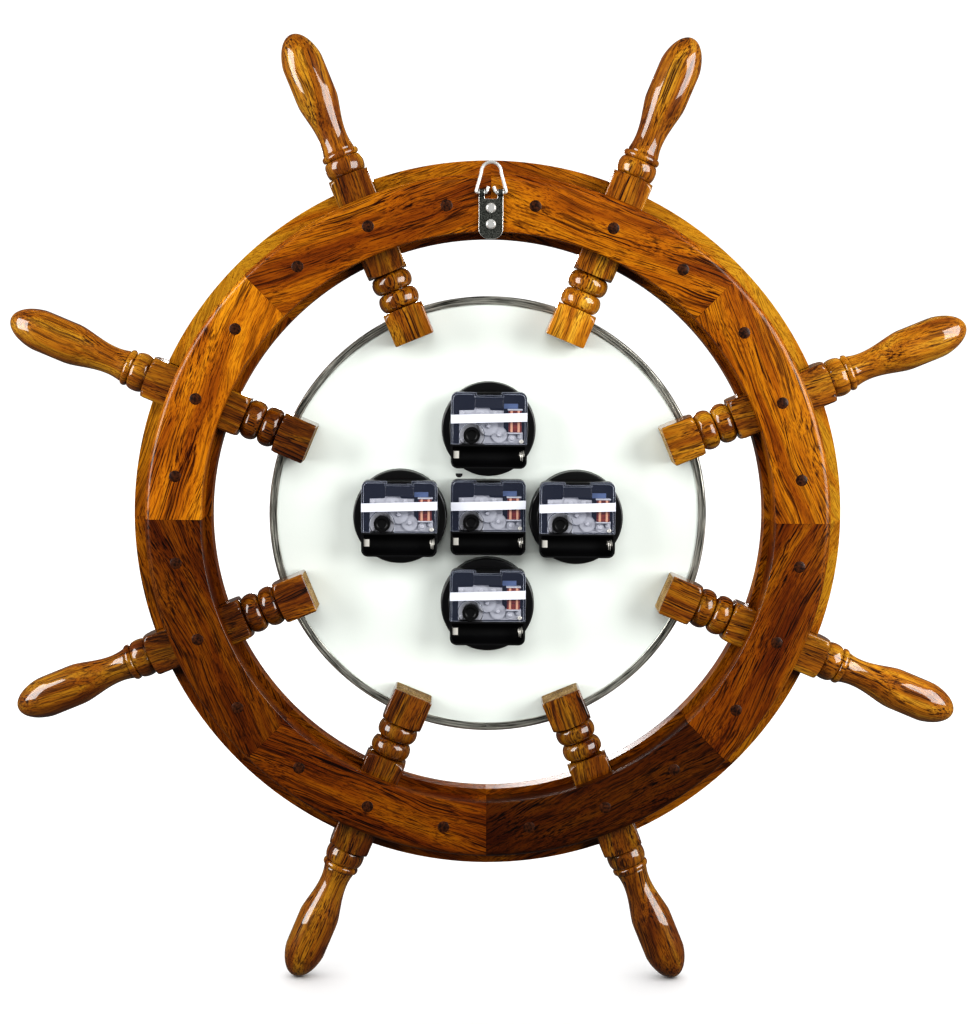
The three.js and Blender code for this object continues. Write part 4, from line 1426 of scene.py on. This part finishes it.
@dataclass
class Movement:
    """A quartz movement seen from behind: case, clear lid, works, cell bay, knob and tape.

    Its frame has the case's seat at y = 0 and its middle at x = z = 0.
    """

    place: Place
    size: float = 56.0
    depth: float = 16.0
    corner: float = 5.0
    wall: float = 1.2
    base: float = 2.0
    gear_wall: float = 9.0
    bay: float = 15.2
    bay_corner: float = 3.4
    lid: float = 1.4
    latch_width: float = 18.0
    latch_depth: float = 2.0
    gap: float = 0.3
    bush_radius: float = 4.0
    bush_length: float = 9.5
    bush_bore: float = 3.4
    thread_depth: float = 0.35
    thread_pitch: float = 0.4
    knob_radius: float = 6.3
    knob_height: float = 6.0
    knob_stem: float = 2.0
    knob_x: float = 12.7
    knob_from_bay: float = 0.5
    knob_ribs: int = 30
    rib_depth: float = 0.45
    lid_clearance: float = 2.8
    well_wall: float = 0.5
    well_depth: float = 2.0
    boss_radius: float = 3.9
    boss_bore: float = 2.49
    boss_height: float = 5.0
    boss_sunk: float = 0.2
    tape_low: float = 6.0
    tape_high: float = 12.4
    tape_sheet: float = 0.14
    tape_tilt: float = 0.03
    plate_front: float = 7.4
    plate_back: float = 9.0
    wheels: tuple[tuple[float, float, float, int], ...] = (
        (-7.6, -3.4, 6.2, 36), (-17.0, -6.0, 3.2, 20), (5.0, 12.0, 5.4, 30), (0.5, 3.0, 7.2, 44),
    )  # x, z, radius and teeth
    wheel_sheet: float = 0.8
    wheel_lift: float = 0.9  # how much higher every second wheel lies
    tooth_depth: float = 0.5
    axle: tuple[Point, ...] = ((1.5, 0), (1.5, 2.0), (0.9, 2.6), (0, 2.6))  # radius and height
    rivet: tuple[Point, ...] = ((1.7, 0), (1.7, 0.9), (1.2, 1.3), (0, 1.3))  # radius and height
    rivets_at: tuple[Point, ...] = ((19.8, 12.2), (-4.6, 12.4), (19.6, -8.0), (-22.4, -4.6))
    screw_at: tuple[float, float, float] = (-24.0, 9.1, -8.4)
    screw: tuple[Point, ...] = ((1.6, 0), (1.6, 1.0), (1.2, 1.4), (0.5, 1.4), (0.4, 0.9), (0, 0.9))
    latch_block: tuple[float, ...] = (21.0, 16.6, 23.6, 0.8, 0.8)  # width, limits in z and corners
    latch_block_back: float = 12.0
    coil_at: tuple[float, float, float] = (-19.2, 10.6, 0.0)
    coil_low: float = -1.4
    coil_high: float = 14.8
    coil_width: float = 9.4
    coil_depth: float = 5.0
    coil_round: float = 1.6
    coil_turns: int = 30
    coil_swell: float = 1.05  # how much wider a turn is than the dip beside it
    coil_flange: float = 1.0
    flange_margin: Point = (1.6, 1.2)  # how much wider and deeper than the coil
    flange_round: float = 0.15
    highlight_x: float = 2.6
    # two thin bright strips on the coil's back: painted highlights of the winding
    highlight_lift: float = 0.3
    highlight_size: Point = (1.7, 0.5)
    highlight_short: float = 0.4
    board: tuple[float, ...] = (10.4, 15.9, 19.6, 0.4, 0.4)  # width, limits in z and corners
    board_at: tuple[float, float, float] = (-16.2, 8.0, 0.0)
    board_sheet: float = 1.2
    plate_low: float = -20.6
    plate_width: float = 5.4
    contact_sheet: float = 0.35
    contact_play: float = 0.4
    spring_turns: float = 2.5
    spring_wire: float = 0.28
    spring_at: Point = (9.8, -19.2)  # y and z of its axis
    spring_radius: float = 4.2
    spring_taper: float = 1.2
    spring_length: float = 3.2
    nut_radius: float = 7.0
    nut_height: float = 2.4
    nut_depth: float = 2.6  # from a cup's back to the face that its nut sits on
    play: float = 0.1  # between a part and what it sits on
    edge_round: float = 0.3
    lid_round: float = 0.6
    tape_lift: float = 0.05
    tape_bend: float = 0.6
    tape_drop: float = 0.5  # how far the tape goes below the lid's edge

    def __post_init__(self) -> None:
        """Reads the movement's place from the frame and works out its bays."""
        low, high = limits(self.named("movement_case"))
        self.seat = high.y - self.depth
        self.at = shift(((low.x + high.x) / 2, self.seat, (low.z + high.z) / 2))
        self.half = self.size / 2
        self.bay_low = -self.half + self.wall
        self.bay_high = self.bay_low + self.bay
        self.gear_low = self.bay_high + self.wall
        self.knob_z = self.gear_low + self.knob_from_bay + self.knob_radius
        self.knob_at = (self.knob_x, 0, self.knob_z)

    def named(self, piece: str) -> str:
        """A piece's name for this movement."""
        return f"{piece}_{self.place.label}"

    def put(self, bm: Mesh, piece: Tag | str, finish: Finish, spot: Sequence[float] = (0, 0, 0)) -> Piece:
        """Publishes a piece at a spot of the movement's frame."""
        tag = self.named(piece) if isinstance(piece, str) else piece
        return publish(bm, tag, finish, self.at @ shift(spot))

    def build(self) -> None:
        """Makes every piece of the movement."""
        self.make_case()
        self.make_lid()
        self.make_knob()
        self.make_works()
        self.make_contacts()
        self.make_tape()
        self.make_nut()

    def make_case(self) -> None:
        """The black case: low walls round the gears, high walls round the cell's bay."""
        outer = rounded_box(self.size, -self.half, self.half, self.corner, self.corner)
        inside = self.size - 2 * self.wall
        gears = rounded_box(inside, self.gear_low, self.half - self.wall, 0.4, self.corner - self.wall)
        cell = rounded_box(inside, self.bay_low, self.bay_high, self.bay_corner, self.wall)
        walls = slab([outer, gears, cell], self.base, self.gear_wall)
        cut(walls, Vector((0, 0, self.gear_low)), Vector((0, 0, 1)))

        def beside_cell(face: Face) -> bool:
            """Whether a face is part of the rim that stands higher round the cell."""
            spot = face.calc_center_median()
            return spot.z < self.gear_low and spot.y > self.gear_wall - NEAR

        raise_faces(walls, filter(beside_cell, walls.faces), Vector((0, self.depth - self.gear_wall, 0)))
        mend(walls)
        floor = slab([outer, circle(self.bush_bore, steps=24)], 0, self.base - NEAR)
        bush = revolve(self.bush_section(), 40)
        low, high = self.base - self.boss_sunk, self.base + self.boss_height
        bore, outside = self.boss_bore, self.boss_radius
        tube = [(bore, low), (outside, low), (outside, high), (bore, high)]
        boss = moved(revolve(tube, 24), shift(self.knob_at))
        side, under, top = self.latch_width / 2, self.half - self.wall, self.half
        tongue = [(-side, under), (side, under), (side, top), (-side, top)]
        latch = slab([tongue], self.gear_wall - 1, self.depth)
        tag = Tag.of(self.named("movement_case"), "moulded", Slot.BLACK_PLASTIC)
        whole = merge(walls, floor, bush, boss, latch, self.cradle())
        eased(self.put(whole, tag, BLACK_ABS), self.edge_round)

    def cradle(self) -> Mesh:
        """The round bed of the cell's bay.

        Returns:
            The bed along the bay, in the movement's frame.
        """
        radius, at = self.bay / 2 - 0.1, (self.bay_low + self.bay_high) / 2
        bed = arc((self.base + 0.2 + radius, at), radius, -90, -270, 18)
        corners = [(self.base, self.bay_high), (self.base, self.bay_low)]
        length = self.half - self.wall - 0.05
        return moved(slab([[*bed, *corners]], -length, length), spun(math.pi / 2, "Z"))

    def bush_section(self) -> Outline:
        """The threaded bush.

        Returns:
            The section of a tube with fine grooves.
        """
        outer, end, inside = self.bush_radius, -self.bush_length, 0.5
        radii = (outer - self.thread_depth, outer)
        thread = [(radii[i % 2], end + 0.5 + i * self.thread_pitch) for i in range(16)]
        ends = [(outer - 0.5, end), *thread, (outer, -2.0), (outer, inside)]
        return [*ends, (self.bush_bore, inside), (self.bush_bore, end)]

    def make_lid(self) -> None:
        """The clear lid, notched for the latch and cut out round the knob, and the wall of that cut."""
        half, low, top = self.half, self.gear_low + self.gap, self.half
        notch = self.latch_width / 2 + self.gap
        reach = self.knob_radius + self.lid_clearance
        outline = [
            (-half, low),
            (self.knob_x - reach, low),
            *reversed(arc((self.knob_x, self.knob_z), reach, 0, 180, 20)),
            (self.knob_x + reach, low),
            (half, low),
            *arc((half - self.corner, top - self.corner), self.corner, 0, 90, 8),
            (notch, top),
            (notch, top - self.latch_depth),
            (-notch, top - self.latch_depth),
            (-notch, top),
            *arc((-half + self.corner, top - self.corner), self.corner, 90, 180, 8),
        ]
        bm = bmesh.new()
        rim = loop(bm, [Vector((x, self.depth, z)) for x, z in outline])
        bmesh.ops.triangle_fill(bm, edges=rim, use_beauty=True)

        def on_outside(edge: Edge) -> bool:
            """Whether a wall hangs from an edge: along the sides and the top.

            Args:
                edge: the edge.

            Returns:
                True if it does.
            """
            spot = (edge.verts[0].co + edge.verts[1].co) / 2
            near_side = abs(spot.x) > half - self.corner - NEAR and spot.z > low + NEAR
            return edge.is_boundary and (near_side or spot.z > top - self.latch_depth - NEAR)

        grow(bm, [e for e in bm.edges if on_outside(e)], (0, self.gear_wall + self.gap - self.depth, 0))
        thicken(bm, self.lid, 1)
        tag = Tag.of(self.named("movement_cover"), "clear", Slot.CLEAR_PLASTIC)
        # the lid's rounded edges carry the painted highlight
        eased(self.put(bm, tag, CLEAR_LID), self.lid_round, edge=LID_EDGE_HIGHLIGHT)
        back = self.depth - self.lid
        front, outer = back - self.well_depth, reach + self.well_wall
        well = revolve([(reach, front), (outer, front), (outer, back), (reach, back)], 56)
        cut(well, Vector((0, 0, low - self.knob_z)), Vector((0, 0, 1)), clear_inner=True)
        close(well)
        # the wall round the knob carries the painted dark reflection
        self.put(well, "knob_well", LID_WALL_DARK_REFLECTION, self.knob_at)

    def make_knob(self) -> None:
        """The thumb knob: a ribbed edge, a dished face and a stem."""
        top, low = self.depth, self.depth - self.knob_height
        outline = notched(self.knob_radius, self.rib_depth, self.knob_ribs)
        ribbed = slab([outline, circle(self.knob_radius - 1.6, steps=30)], low, top - 0.4)
        face = self.knob_radius - 1.5
        dish = [(0, low + 0.3), (face, low + 0.3), (face, top), (face - 0.7, top), (face - 1.6, top - 1.0)]
        cap = revolve([*dish, (0, top - 1.2)], 40, closed=False)
        end, stem = self.base + self.gap, self.knob_stem
        pin = revolve([(0, end), (stem, end), (stem, low + 1), (0, low + 1)], 20, closed=False)
        tag = Tag.of(self.named("set_knob"), "ribbed", Slot.BLACK_PLASTIC, moves=True)
        self.put(merge(ribbed, cap, pin), tag, BLACK_ABS, self.knob_at)

    def make_works(self) -> None:
        """What shows through the lid: the gear plate, wheels, coil, board and latch block."""
        low, front = self.gear_low + 0.5, self.plate_back
        plate = [
            (-25.0, low), (22.0, low), (22.0, 14.4), *arc((5.0, 12.5), 6.6, 20, 160, 12),
            (-10.8, 14.4), (-10.8, 1.2), (-13.2, -2.4), (-25.0, -2.4),
        ]  # fmt: skip
        stem_hole = circle(self.knob_stem + 2.4, self.knob_x, self.knob_z, 24)
        self.put(slab([plate, stem_hole], self.plate_front, self.plate_back), "gear_plate", GEAR_ACETAL)
        train = bmesh.new()
        for layer, (x, z, radius, teeth) in enumerate(self.wheels):
            start = front + self.play + self.wheel_lift * (layer % 2)
            wheel = notched(radius, self.tooth_depth, teeth, x, z, 2)
            merge(train, slab([wheel], start, start + self.wheel_sheet))
            merge(train, moved(self.stud(self.axle), shift((x, start, z))))
        for x, z in self.rivets_at:
            merge(train, moved(self.stud(self.rivet), shift((x, front - self.play, z))))
        self.put(train, "gear_train", GEAR_ACETAL)
        self.make_coil()
        latch_block = slab([rounded_box(*self.latch_block)], self.base, self.latch_block_back)
        eased(self.put(latch_block, "latch_block", BLACK_ABS), self.edge_round)
        self.put(self.stud(self.screw, 24), "works_screw", CONTACT_NICKEL, self.screw_at)

    def stud(self, outline: Sequence[Point], steps: int = 20) -> Mesh:
        """A small turned part that stands on y = 0."""
        return revolve([(0, 0), *outline], steps, closed=False)

    def make_coil(self) -> None:
        """The drive coil between its two flanges, with two bright strips along its back as a painted
        highlight, and the board above it.
        """
        low, high, wide, deep = self.coil_low, self.coil_high, self.coil_width, self.coil_depth
        pitch = (high - low) / self.coil_turns
        coil, flanges, highlight_strips = bmesh.new(), bmesh.new(), bmesh.new()
        ring = rounded_box(wide, -deep / 2, deep / 2, self.coil_round, self.coil_round)
        edges = loop(coil, [Vector((x, y, low)) for x, y in ring])
        for step in range(2 * self.coil_turns):
            verts, edges = grow(coil, edges, (0, 0, pitch / 2))
            swell = 1 / self.coil_swell if step % 2 else self.coil_swell
            bmesh.ops.scale(coil, verts=verts, vec=(swell, swell, 1))
        close(coil)
        mend(coil)
        self.put(coil, "drive_coil", COIL_COPPER, self.coil_at)
        more_wide, more_deep = self.flange_margin
        for z in (low - self.coil_flange / 2, high + self.coil_flange / 2):
            block(flanges, (wide + more_wide, deep + more_deep, self.coil_flange), (0, 0, z))
        eased(self.put(flanges, "coil_flanges", GEAR_ACETAL, self.coil_at), self.flange_round)
        # painted highlights: two bright strips along the winding's back
        highlight_strip = (*self.highlight_size, high - low - self.highlight_short)
        for x in (-self.highlight_x, self.highlight_x):
            block(highlight_strips, highlight_strip, (x, deep / 2 + self.highlight_lift, (low + high) / 2))
        self.put(highlight_strips, "coil_highlight_strips", COPPER_HIGHLIGHT, self.coil_at)
        board = slab([rounded_box(*self.board)], 0, self.board_sheet)
        self.put(board, "circuit_board", BOARD_RESIST, self.board_at)

    def make_contacts(self) -> None:
        """The cell's two contacts: a folded plate and a coil spring, one at each end of the bay."""
        side = self.half - self.wall - self.contact_play
        folded = [(side, 9.0), (side, 13.2), *arc((side - 1.2, 13.2), 1.2, 0, 90, 5), (side - 4.4, 14.2)]
        bm = self.strip(folded, self.plate_low, self.plate_width)
        thicken(bm, self.contact_sheet)
        self.put(bm, "cell_contact_plate", CONTACT_NICKEL)
        line = []
        count = int(24 * self.spring_turns)
        for share in (i / count for i in range(count + 1)):
            radius = self.spring_radius - self.spring_taper * share
            y, z = polar(radius, FULL_TURN * self.spring_turns * share)
            x = -side + self.contact_play + self.spring_length * share
            line.append(Vector((x, self.spring_at[0] + y, self.spring_at[1] + z)))
        self.put(wire(line, self.spring_wire), "cell_contact_spring", CONTACT_NICKEL)

    def strip(self, line: Outline, low: float, width: float) -> Mesh:
        """An open sheet over a line in x and y.

        Args:
            line: the line.
            low: the lower z.
            width: how far the sheet goes along z.

        Returns:
            The sheet.
        """
        bm = bmesh.new()
        grow(bm, loop(bm, [Vector((x, y, low)) for x, y in line], closed=False), (0, 0, width))
        return bm

    def make_tape(self) -> None:
        """A plain strip of paper tape across the lid and a little way down both sides."""
        out, top = self.half + self.tape_lift, self.depth + self.tape_lift
        bend, end = self.tape_bend, self.gear_wall - self.tape_drop
        line = [
            (out, end),
            *arc((out - bend, top - bend), bend, 0, 90, 4),
            *arc((-out + bend, top - bend), bend, 90, 180, 4),
            (-out, end),
        ]
        askew = Matrix()
        askew[2][0] = -self.tape_tilt
        bm = moved(self.strip(line, self.tape_low, self.tape_high - self.tape_low), askew)
        thicken(bm, self.tape_sheet, -1)
        self.put(bm, "paper_tape", PAPER_TAPE)

    def make_nut(self) -> None:
        """The brass nut that holds the movement from the front."""
        if self.place is Place.CENTRE:
            face = limits("dial_plate")[0].y
        else:
            face = limits(self.named("insert_cup"))[1].y - self.nut_depth
        back = face - self.seat - self.play
        hexagon = [polar(self.nut_radius, FULL_TURN * i / 6)[::-1] for i in range(6)]
        nut = slab([hexagon, circle(self.bush_radius + 0.05, steps=40)], back - self.nut_height, back)
        eased(self.put(nut, "bush_nut", BRASS), self.edge_round)


@dataclass
class Hands:
    """The hands of one clock, each on its own arbor."""

    movement: Movement
    sheet: float = 0.8
    hub_margin: float = 2.0
    hub_edge: float = 0.3
    air: float = 1.2
    arbor_step: float = 1.5
    arbor_start: float = 1.2
    wide: float = 9.0
    small_wide: float = 3.6
    second_wide: float = 2.0
    edge_round: float = 0.15

    def build(self) -> None:
        """Makes the hands that this clock has."""
        centre = self.movement.place is Place.CENTRE
        kinds = list(HandKind) if centre else [HandKind.HOUR, HandKind.MINUTE]
        for layer, kind in enumerate(kinds):
            self.make_hand(kind, layer, centre)

    def make_hand(self, kind: HandKind, layer: int, centre: bool) -> None:
        """Makes one hand, its hub and its arbor.

        Args:
            kind: which hand.
            layer: how far it lies from the dial.
            centre: whether it is on the middle clock.
        """
        name, long, short, outer, bore = kind.value
        length, width = (long, self.wide) if centre else (short, self.small_wide)
        if kind is HandKind.SECOND:
            width = self.second_wide
        if kind is HandKind.MINUTE and not centre:
            bore = 0
        back = -self.movement.bush_length - self.air - layer * (self.sheet + self.air)
        front = back - self.sheet
        hub = outer + self.hub_margin
        side = width / 4
        plate = slab([self.pointer(length, width, outer if bore else -hub)], front, back)
        if bore:
            tail = [(-side, -hub), (side, -hub), (side, -outer), (-side, -outer)]
            merge(plate, slab([tail], front, back))
        inner = self.movement.base + self.movement.gap + layer * self.arbor_step + self.arbor_start
        rim = [(hub, back), (hub - self.hub_edge, front)]
        arbor = revolve([(outer, inner), (outer, back), *rim, (bore, front), (bore, inner)], 32, bore > 0)
        tag = Tag.of(self.movement.named(name), "enamelled", Slot.HAND_METAL, moves=True)
        place = self.movement.at @ spun(self.movement.place.turn(kind))
        eased(publish(merge(plate, arbor), tag, HAND_ENAMEL, place), self.edge_round, 1)

    def pointer(self, length: float, width: float, start: float) -> Outline:
        """A tapered pointer with a waist near its hub.

        Args:
            length: from the hub's centre to the tip.
            width: its widest place.
            start: where it begins, measured from the hub's centre.

        Returns:
            The outline, pointing up.
        """
        right = [(width / 4, start), (width / 4, length * 0.3), (width / 2, length * 0.6)]
        return [*right, (0.0, length), *[(-x, z) for x, z in reversed(right)]]


@dataclass
class Hanger:
    """The hanger: a folded strap, a wire ring that folds down and two cross-head screws."""

    sheet: float = 1.0
    edge_round: float = 0.4
    foot_round: float = 7.0
    top_drop: float = 0.6
    notch_width: float = 9.4
    notch_depth: float = 4.5
    notch_round: float = 1.2
    wire_radius: float = 1.25
    run_gap: float = 0.3
    ring_height: float = 21.5
    arch_radius: float = 7.1
    bend: float = 1.5
    side_play: float = 1.0
    prong_rise: float = 4.2
    prong_tip_gap: float = 1.0
    head_radius: float = 3.7
    head_height: float = 2.1
    crown_inset: float = 1.2
    shank_radius: float = 1.7
    shank_length: float = 10.0
    recess_width: float = 0.95
    recess_reach: float = 1.9
    recess_depth: float = 0.9
    recess_turn: float = 33.0

    def __post_init__(self) -> None:
        """Reads the strap's place from the frame and the ring's bar from its joint."""
        low, high = limits("hanger_strap")
        joint = next(j for j in frame["joints"] if j["child"] == "hanger_ring")
        self.bar = Vector(joint["pos_m"]) / MM
        self.foot, self.width = low.z, high.x - low.x
        self.front = low.y
        self.screws = ("hanger_screw_upper", "hanger_screw_lower")

    def build(self) -> None:
        """Makes the strap, the ring and the screws."""
        self.make_strap()
        self.make_ring()
        for name in self.screws:
            self.make_screw(name)

    def make_strap(self) -> None:
        """The strap's plate with its notch, and the two ears rolled round the bar."""
        half, notch, foot, turn = self.width / 2, self.notch_width / 2, self.foot_round, self.notch_round
        top = self.bar.z - self.top_drop
        base = self.bar.z - self.notch_depth + turn
        outline = [
            *arc((-half + foot, self.foot + foot), foot, 180, 270, 10),
            *arc((half - foot, self.foot + foot), foot, 270, 360, 10),
            (half, top), (notch, top), *arc((notch - turn, base), turn, 0, -90, 5),
            *arc((-notch + turn, base), turn, 270, 180, 5), (-notch, top), (-half, top),
        ]  # fmt: skip
        holes = [circle(self.shank_radius + 0.3, 0, middle(name).z, 24) for name in self.screws]
        whole = slab([outline, *holes], self.front, self.front + self.sheet)
        inner = self.wire_radius + self.run_gap
        outer = inner + self.sheet
        for side in (-1, 1):
            ear = revolve([(inner, notch), (outer, notch), (outer, half), (inner, half)], 32)
            merge(whole, moved(ear, shift(self.bar) @ spun(-side * math.pi / 2, "Z")))
        tag = Tag.of("hanger_strap", "pressed", Slot.HANGER_STEEL)
        # The strap's rounded edges take the bright zinc: a painted highlight along its outline.
        eased(publish(whole, tag, STRAP_STEEL), self.edge_round, edge=ZINC_STEEL)

    def make_ring(self) -> None:
        """The wire ring: a prong, the bar, a leg, the arch, and the same back down."""
        arch = self.ring_height - self.arch_radius
        bar_end = self.width / 2 + self.side_play + self.wire_radius
        prong = (self.prong_tip_gap / 2 + self.wire_radius, self.prong_rise)
        bar = [(self.notch_width / 2 - self.wire_radius, 0.0), (bar_end, 0.0)]
        leg = [(self.arch_radius, arch), (self.arch_radius * 0.999, arch + 0.3)]
        bent = self.filleted([prong, *bar, *leg], self.bend)
        half_line = [*bent[:-1], *arc((0, arch), self.arch_radius, 4, 90, 12)]
        line = [*half_line, *[(-x, z) for x, z in reversed(half_line[:-1])]]
        points = [self.bar + Vector((x, 0, z)) for x, z in line]
        tag = Tag.of("hanger_ring", "wire", Slot.HANGER_STEEL, moves=True)
        publish(wire(points, self.wire_radius), tag, ZINC_STEEL)

    def filleted(self, line: Outline, radius: float) -> Outline:
        """Rounds the inner corners of a line.

        Args:
            line: the corners.
            radius: how far before and after a corner its bend reaches.

        Returns:
            The line with each bend as a small curve.
        """
        made = [line[0]]
        for a, b, c in zip(*(map(Vector, line[skip:]) for skip in range(3))):
            start = b + (a - b).normalized() * min(radius, (a - b).length / 2)
            end = b + (c - b).normalized() * min(radius, (c - b).length / 2)
            for t in (i / 6 for i in range(7)):
                made.append(tuple((1 - t) ** 2 * start + 2 * t * (1 - t) * b + t * t * end))
        return [*made, line[-1]]

    def make_screw(self, node_name: str) -> None:
        """A round-headed screw with a cross recess.

        Args:
            node_name: the screw's CAD node.
        """
        head, shank, drop = self.head_radius, self.shank_radius, self.head_height
        reach, narrow = self.recess_reach, self.recess_width / 2
        bm = bmesh.new()
        bmesh.ops.create_circle(bm, cap_ends=True, segments=40, radius=head - self.crown_inset)
        for normal in (Vector((1, 0, 0)), Vector((0, 1, 0))):
            for limit in (-reach, -narrow, narrow, reach):
                cut(bm, normal * limit, normal, 1e-5)

        def in_cross(face: Face) -> bool:
            """Whether a face lies in the cross."""
            x, y, _ = map(abs, face.calc_center_median())
            return min(x, y) < narrow and max(x, y) < reach

        raise_faces(bm, filter(in_cross, bm.faces), Vector((0, 0, -self.recess_depth)))
        rim = [e for e in bm.edges if e.is_boundary]
        steps = [(head - 0.45, -drop * 0.3), (head - 0.05, -drop * 0.65), (head, -drop), (shank, -drop)]
        for radius, z in [*steps, (shank, -drop - self.shank_length)]:
            verts, rim = grow(bm, rim)
            for vert in verts:
                flat = Vector((vert.co.x, vert.co.y)).normalized() * radius
                vert.co = Vector((flat.x, flat.y, z))
        close(bm)
        mend(bm)
        upright = spun(-math.pi / 2, "X") @ spun(math.radians(self.recess_turn), "Z")
        spot = shift((0, limits(node_name)[1].y, middle(node_name).z))
        publish(bm, Tag.of(node_name, "plated", Slot.HANGER_STEEL), ZINC_STEEL, spot @ upright)


@dataclass
class Studio:
    """A pale floor, soft light from both sides and the camera behind the clock."""

    target: tuple[float, float, float] = (0.0, -30.0, 0.0)
    distance: float = 1469.0
    yaw: float = 0.68
    pitch: float = 6.29
    roll: float = 0.44
    lens: float = 72.66
    sensor: float = 36.0
    shift_x: float = 0.0003
    shift_y: float = 0.0064
    floor_radius: float = 9000.0
    floor_gap: float = 0.2
    room_light: float = 0.1
    floor_light: float = 3.75
    floor_light_spread: float = 2.4

    def build(self) -> None:
        """Makes the floor, the lights, the world and the camera."""
        self.make_floor()
        self.make_world()
        self.make_lights()
        self.make_camera()

    def make_floor(self) -> None:
        """A wide white floor that the two lowest handles stand on."""
        bm = bmesh.new()
        bmesh.ops.create_circle(bm, cap_ends=True, segments=64, radius=self.floor_radius * MM)
        low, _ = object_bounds()
        bmesh.ops.translate(bm, verts=bm.verts, vec=(0, 0, low.z - self.floor_gap * MM))
        mesh = bpy.data.meshes.new("studio_floor")
        bm.to_mesh(mesh)
        bm.free()
        mesh.materials.append(FLOOR_PAINT.material())
        floor = placed("studio_floor", mesh)
        floor.visible_diffuse = floor.visible_glossy = False  # the clock is lit and mirrored as if it hung
        floor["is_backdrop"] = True

    def make_world(self) -> None:
        """A white backdrop in a dim room, shown with plain colours."""
        world = bpy.data.worlds.new("white_backdrop")
        world.use_nodes = True
        tree = world.node_tree
        background = tree.nodes["Background"].inputs
        backdrop = node(tree, "LightPath", out="Is Camera Ray")
        light = node(tree, "MapRange", {0: backdrop, 3: self.room_light, 4: 1.0})
        tree.links.new(light, background["Strength"])
        background["Color"].default_value = linear(WHITE)
        scene = bpy.context.scene
        scene.world = world
        scene.view_settings.view_transform = "Standard"
        scene.view_settings.look = "Medium High Contrast"

    def make_lights(self) -> None:
        """Softboxes beside the camera, weaker ones for the clock's front, and the floor's own light."""
        boxes = [
            ("softbox_left", (1.5, 0.7, 0.5), 38.0, (0.9, 1.3), True),
            ("softbox_right", (-1.45, 0.9, 0.5), 50.0, (1.4, 1.3), True),
            ("fill_above", (0.2, 1.9, 1.25), 23.0, (1.6, 0.9), False),
            ("fill_front_left", (-1.0, -1.6, 1.9), 60.0, (1.2, 0.9), False),
            ("fill_front_right", (1.0, -1.6, 1.9), 60.0, (1.2, 0.9), False),
            ("key_front", (0.3, -4.5, 0.5), 18.0, (0.6, 0.6), True),
        ]
        sun = bpy.data.lights.new("overhead_diffuser", "SUN")
        sun.energy, sun.angle = self.floor_light, self.floor_light_spread
        self.limit_light(placed(sun.name, sun), "INCLUDE")
        for name, spot, watts, (wide, high), mirrored in boxes:
            light = bpy.data.lights.new(name, "AREA")
            light.shape = "RECTANGLE"
            light.size, light.size_y = wide, high
            light.energy = watts
            lamp = placed(name, light)
            lamp.location = spot
            lamp.visible_glossy = mirrored  # the fills lighten the shades without a highlight of their own
            lamp.rotation_mode = "QUATERNION"
            lamp.rotation_quaternion = (-Vector(spot)).to_track_quat("-Z", "Y")
            self.limit_light(lamp, "EXCLUDE")

    def limit_light(self, lamp: Piece, state: str) -> None:
        """Lets a lamp light the floor alone, or all but the floor.

        Args:
            lamp: the lamp.
            state: INCLUDE for the floor alone, EXCLUDE for all but the floor.
        """
        receivers = bpy.data.collections.new(f"{lamp.name}_receivers")
        receivers.objects.link(bpy.data.objects["studio_floor"])
        receivers.collection_objects[0].light_linking.link_state = state
        lamp.light_linking.receiver_collection = receivers

    def make_camera(self) -> None:
        """The camera at the photograph's angle."""
        yaw, pitch = math.radians(self.yaw), math.radians(self.pitch)
        away = Vector((math.sin(yaw) * math.cos(pitch), math.cos(yaw) * math.cos(pitch), math.sin(pitch)))
        camera = bpy.data.cameras.new("camera")
        camera.lens = self.lens
        camera.sensor_fit = "HORIZONTAL"
        camera.sensor_width = self.sensor
        camera.shift_x, camera.shift_y = self.shift_x, self.shift_y
        camera.clip_start, camera.clip_end = 0.05, 60.0
        seen = placed("camera", camera)
        seen.location = (Vector(self.target) + away * self.distance) * MM
        seen.rotation_mode = "QUATERNION"
        level = (-away).to_track_quat("-Z", "Y")
        seen.rotation_quaternion = level @ Matrix.Rotation(math.radians(self.roll), 3, "Z").to_quaternion()
        bpy.context.scene.camera = seen


def main() -> None:
    """Builds the wheel, the dial, the clocks, the hanger and the studio."""
    logging.basicConfig(level=logging.INFO, format="%(message)s")
    Rim().build()
    Spokes().build()
    Dial().build()
    for place in Place:
        if place is not Place.CENTRE:
            Insert(place).build()
        movement = Movement(place)
        movement.build()
        Hands(movement).build()
    Hanger().build()
    Studio().build()


if __name__ == "__main__":
    main()
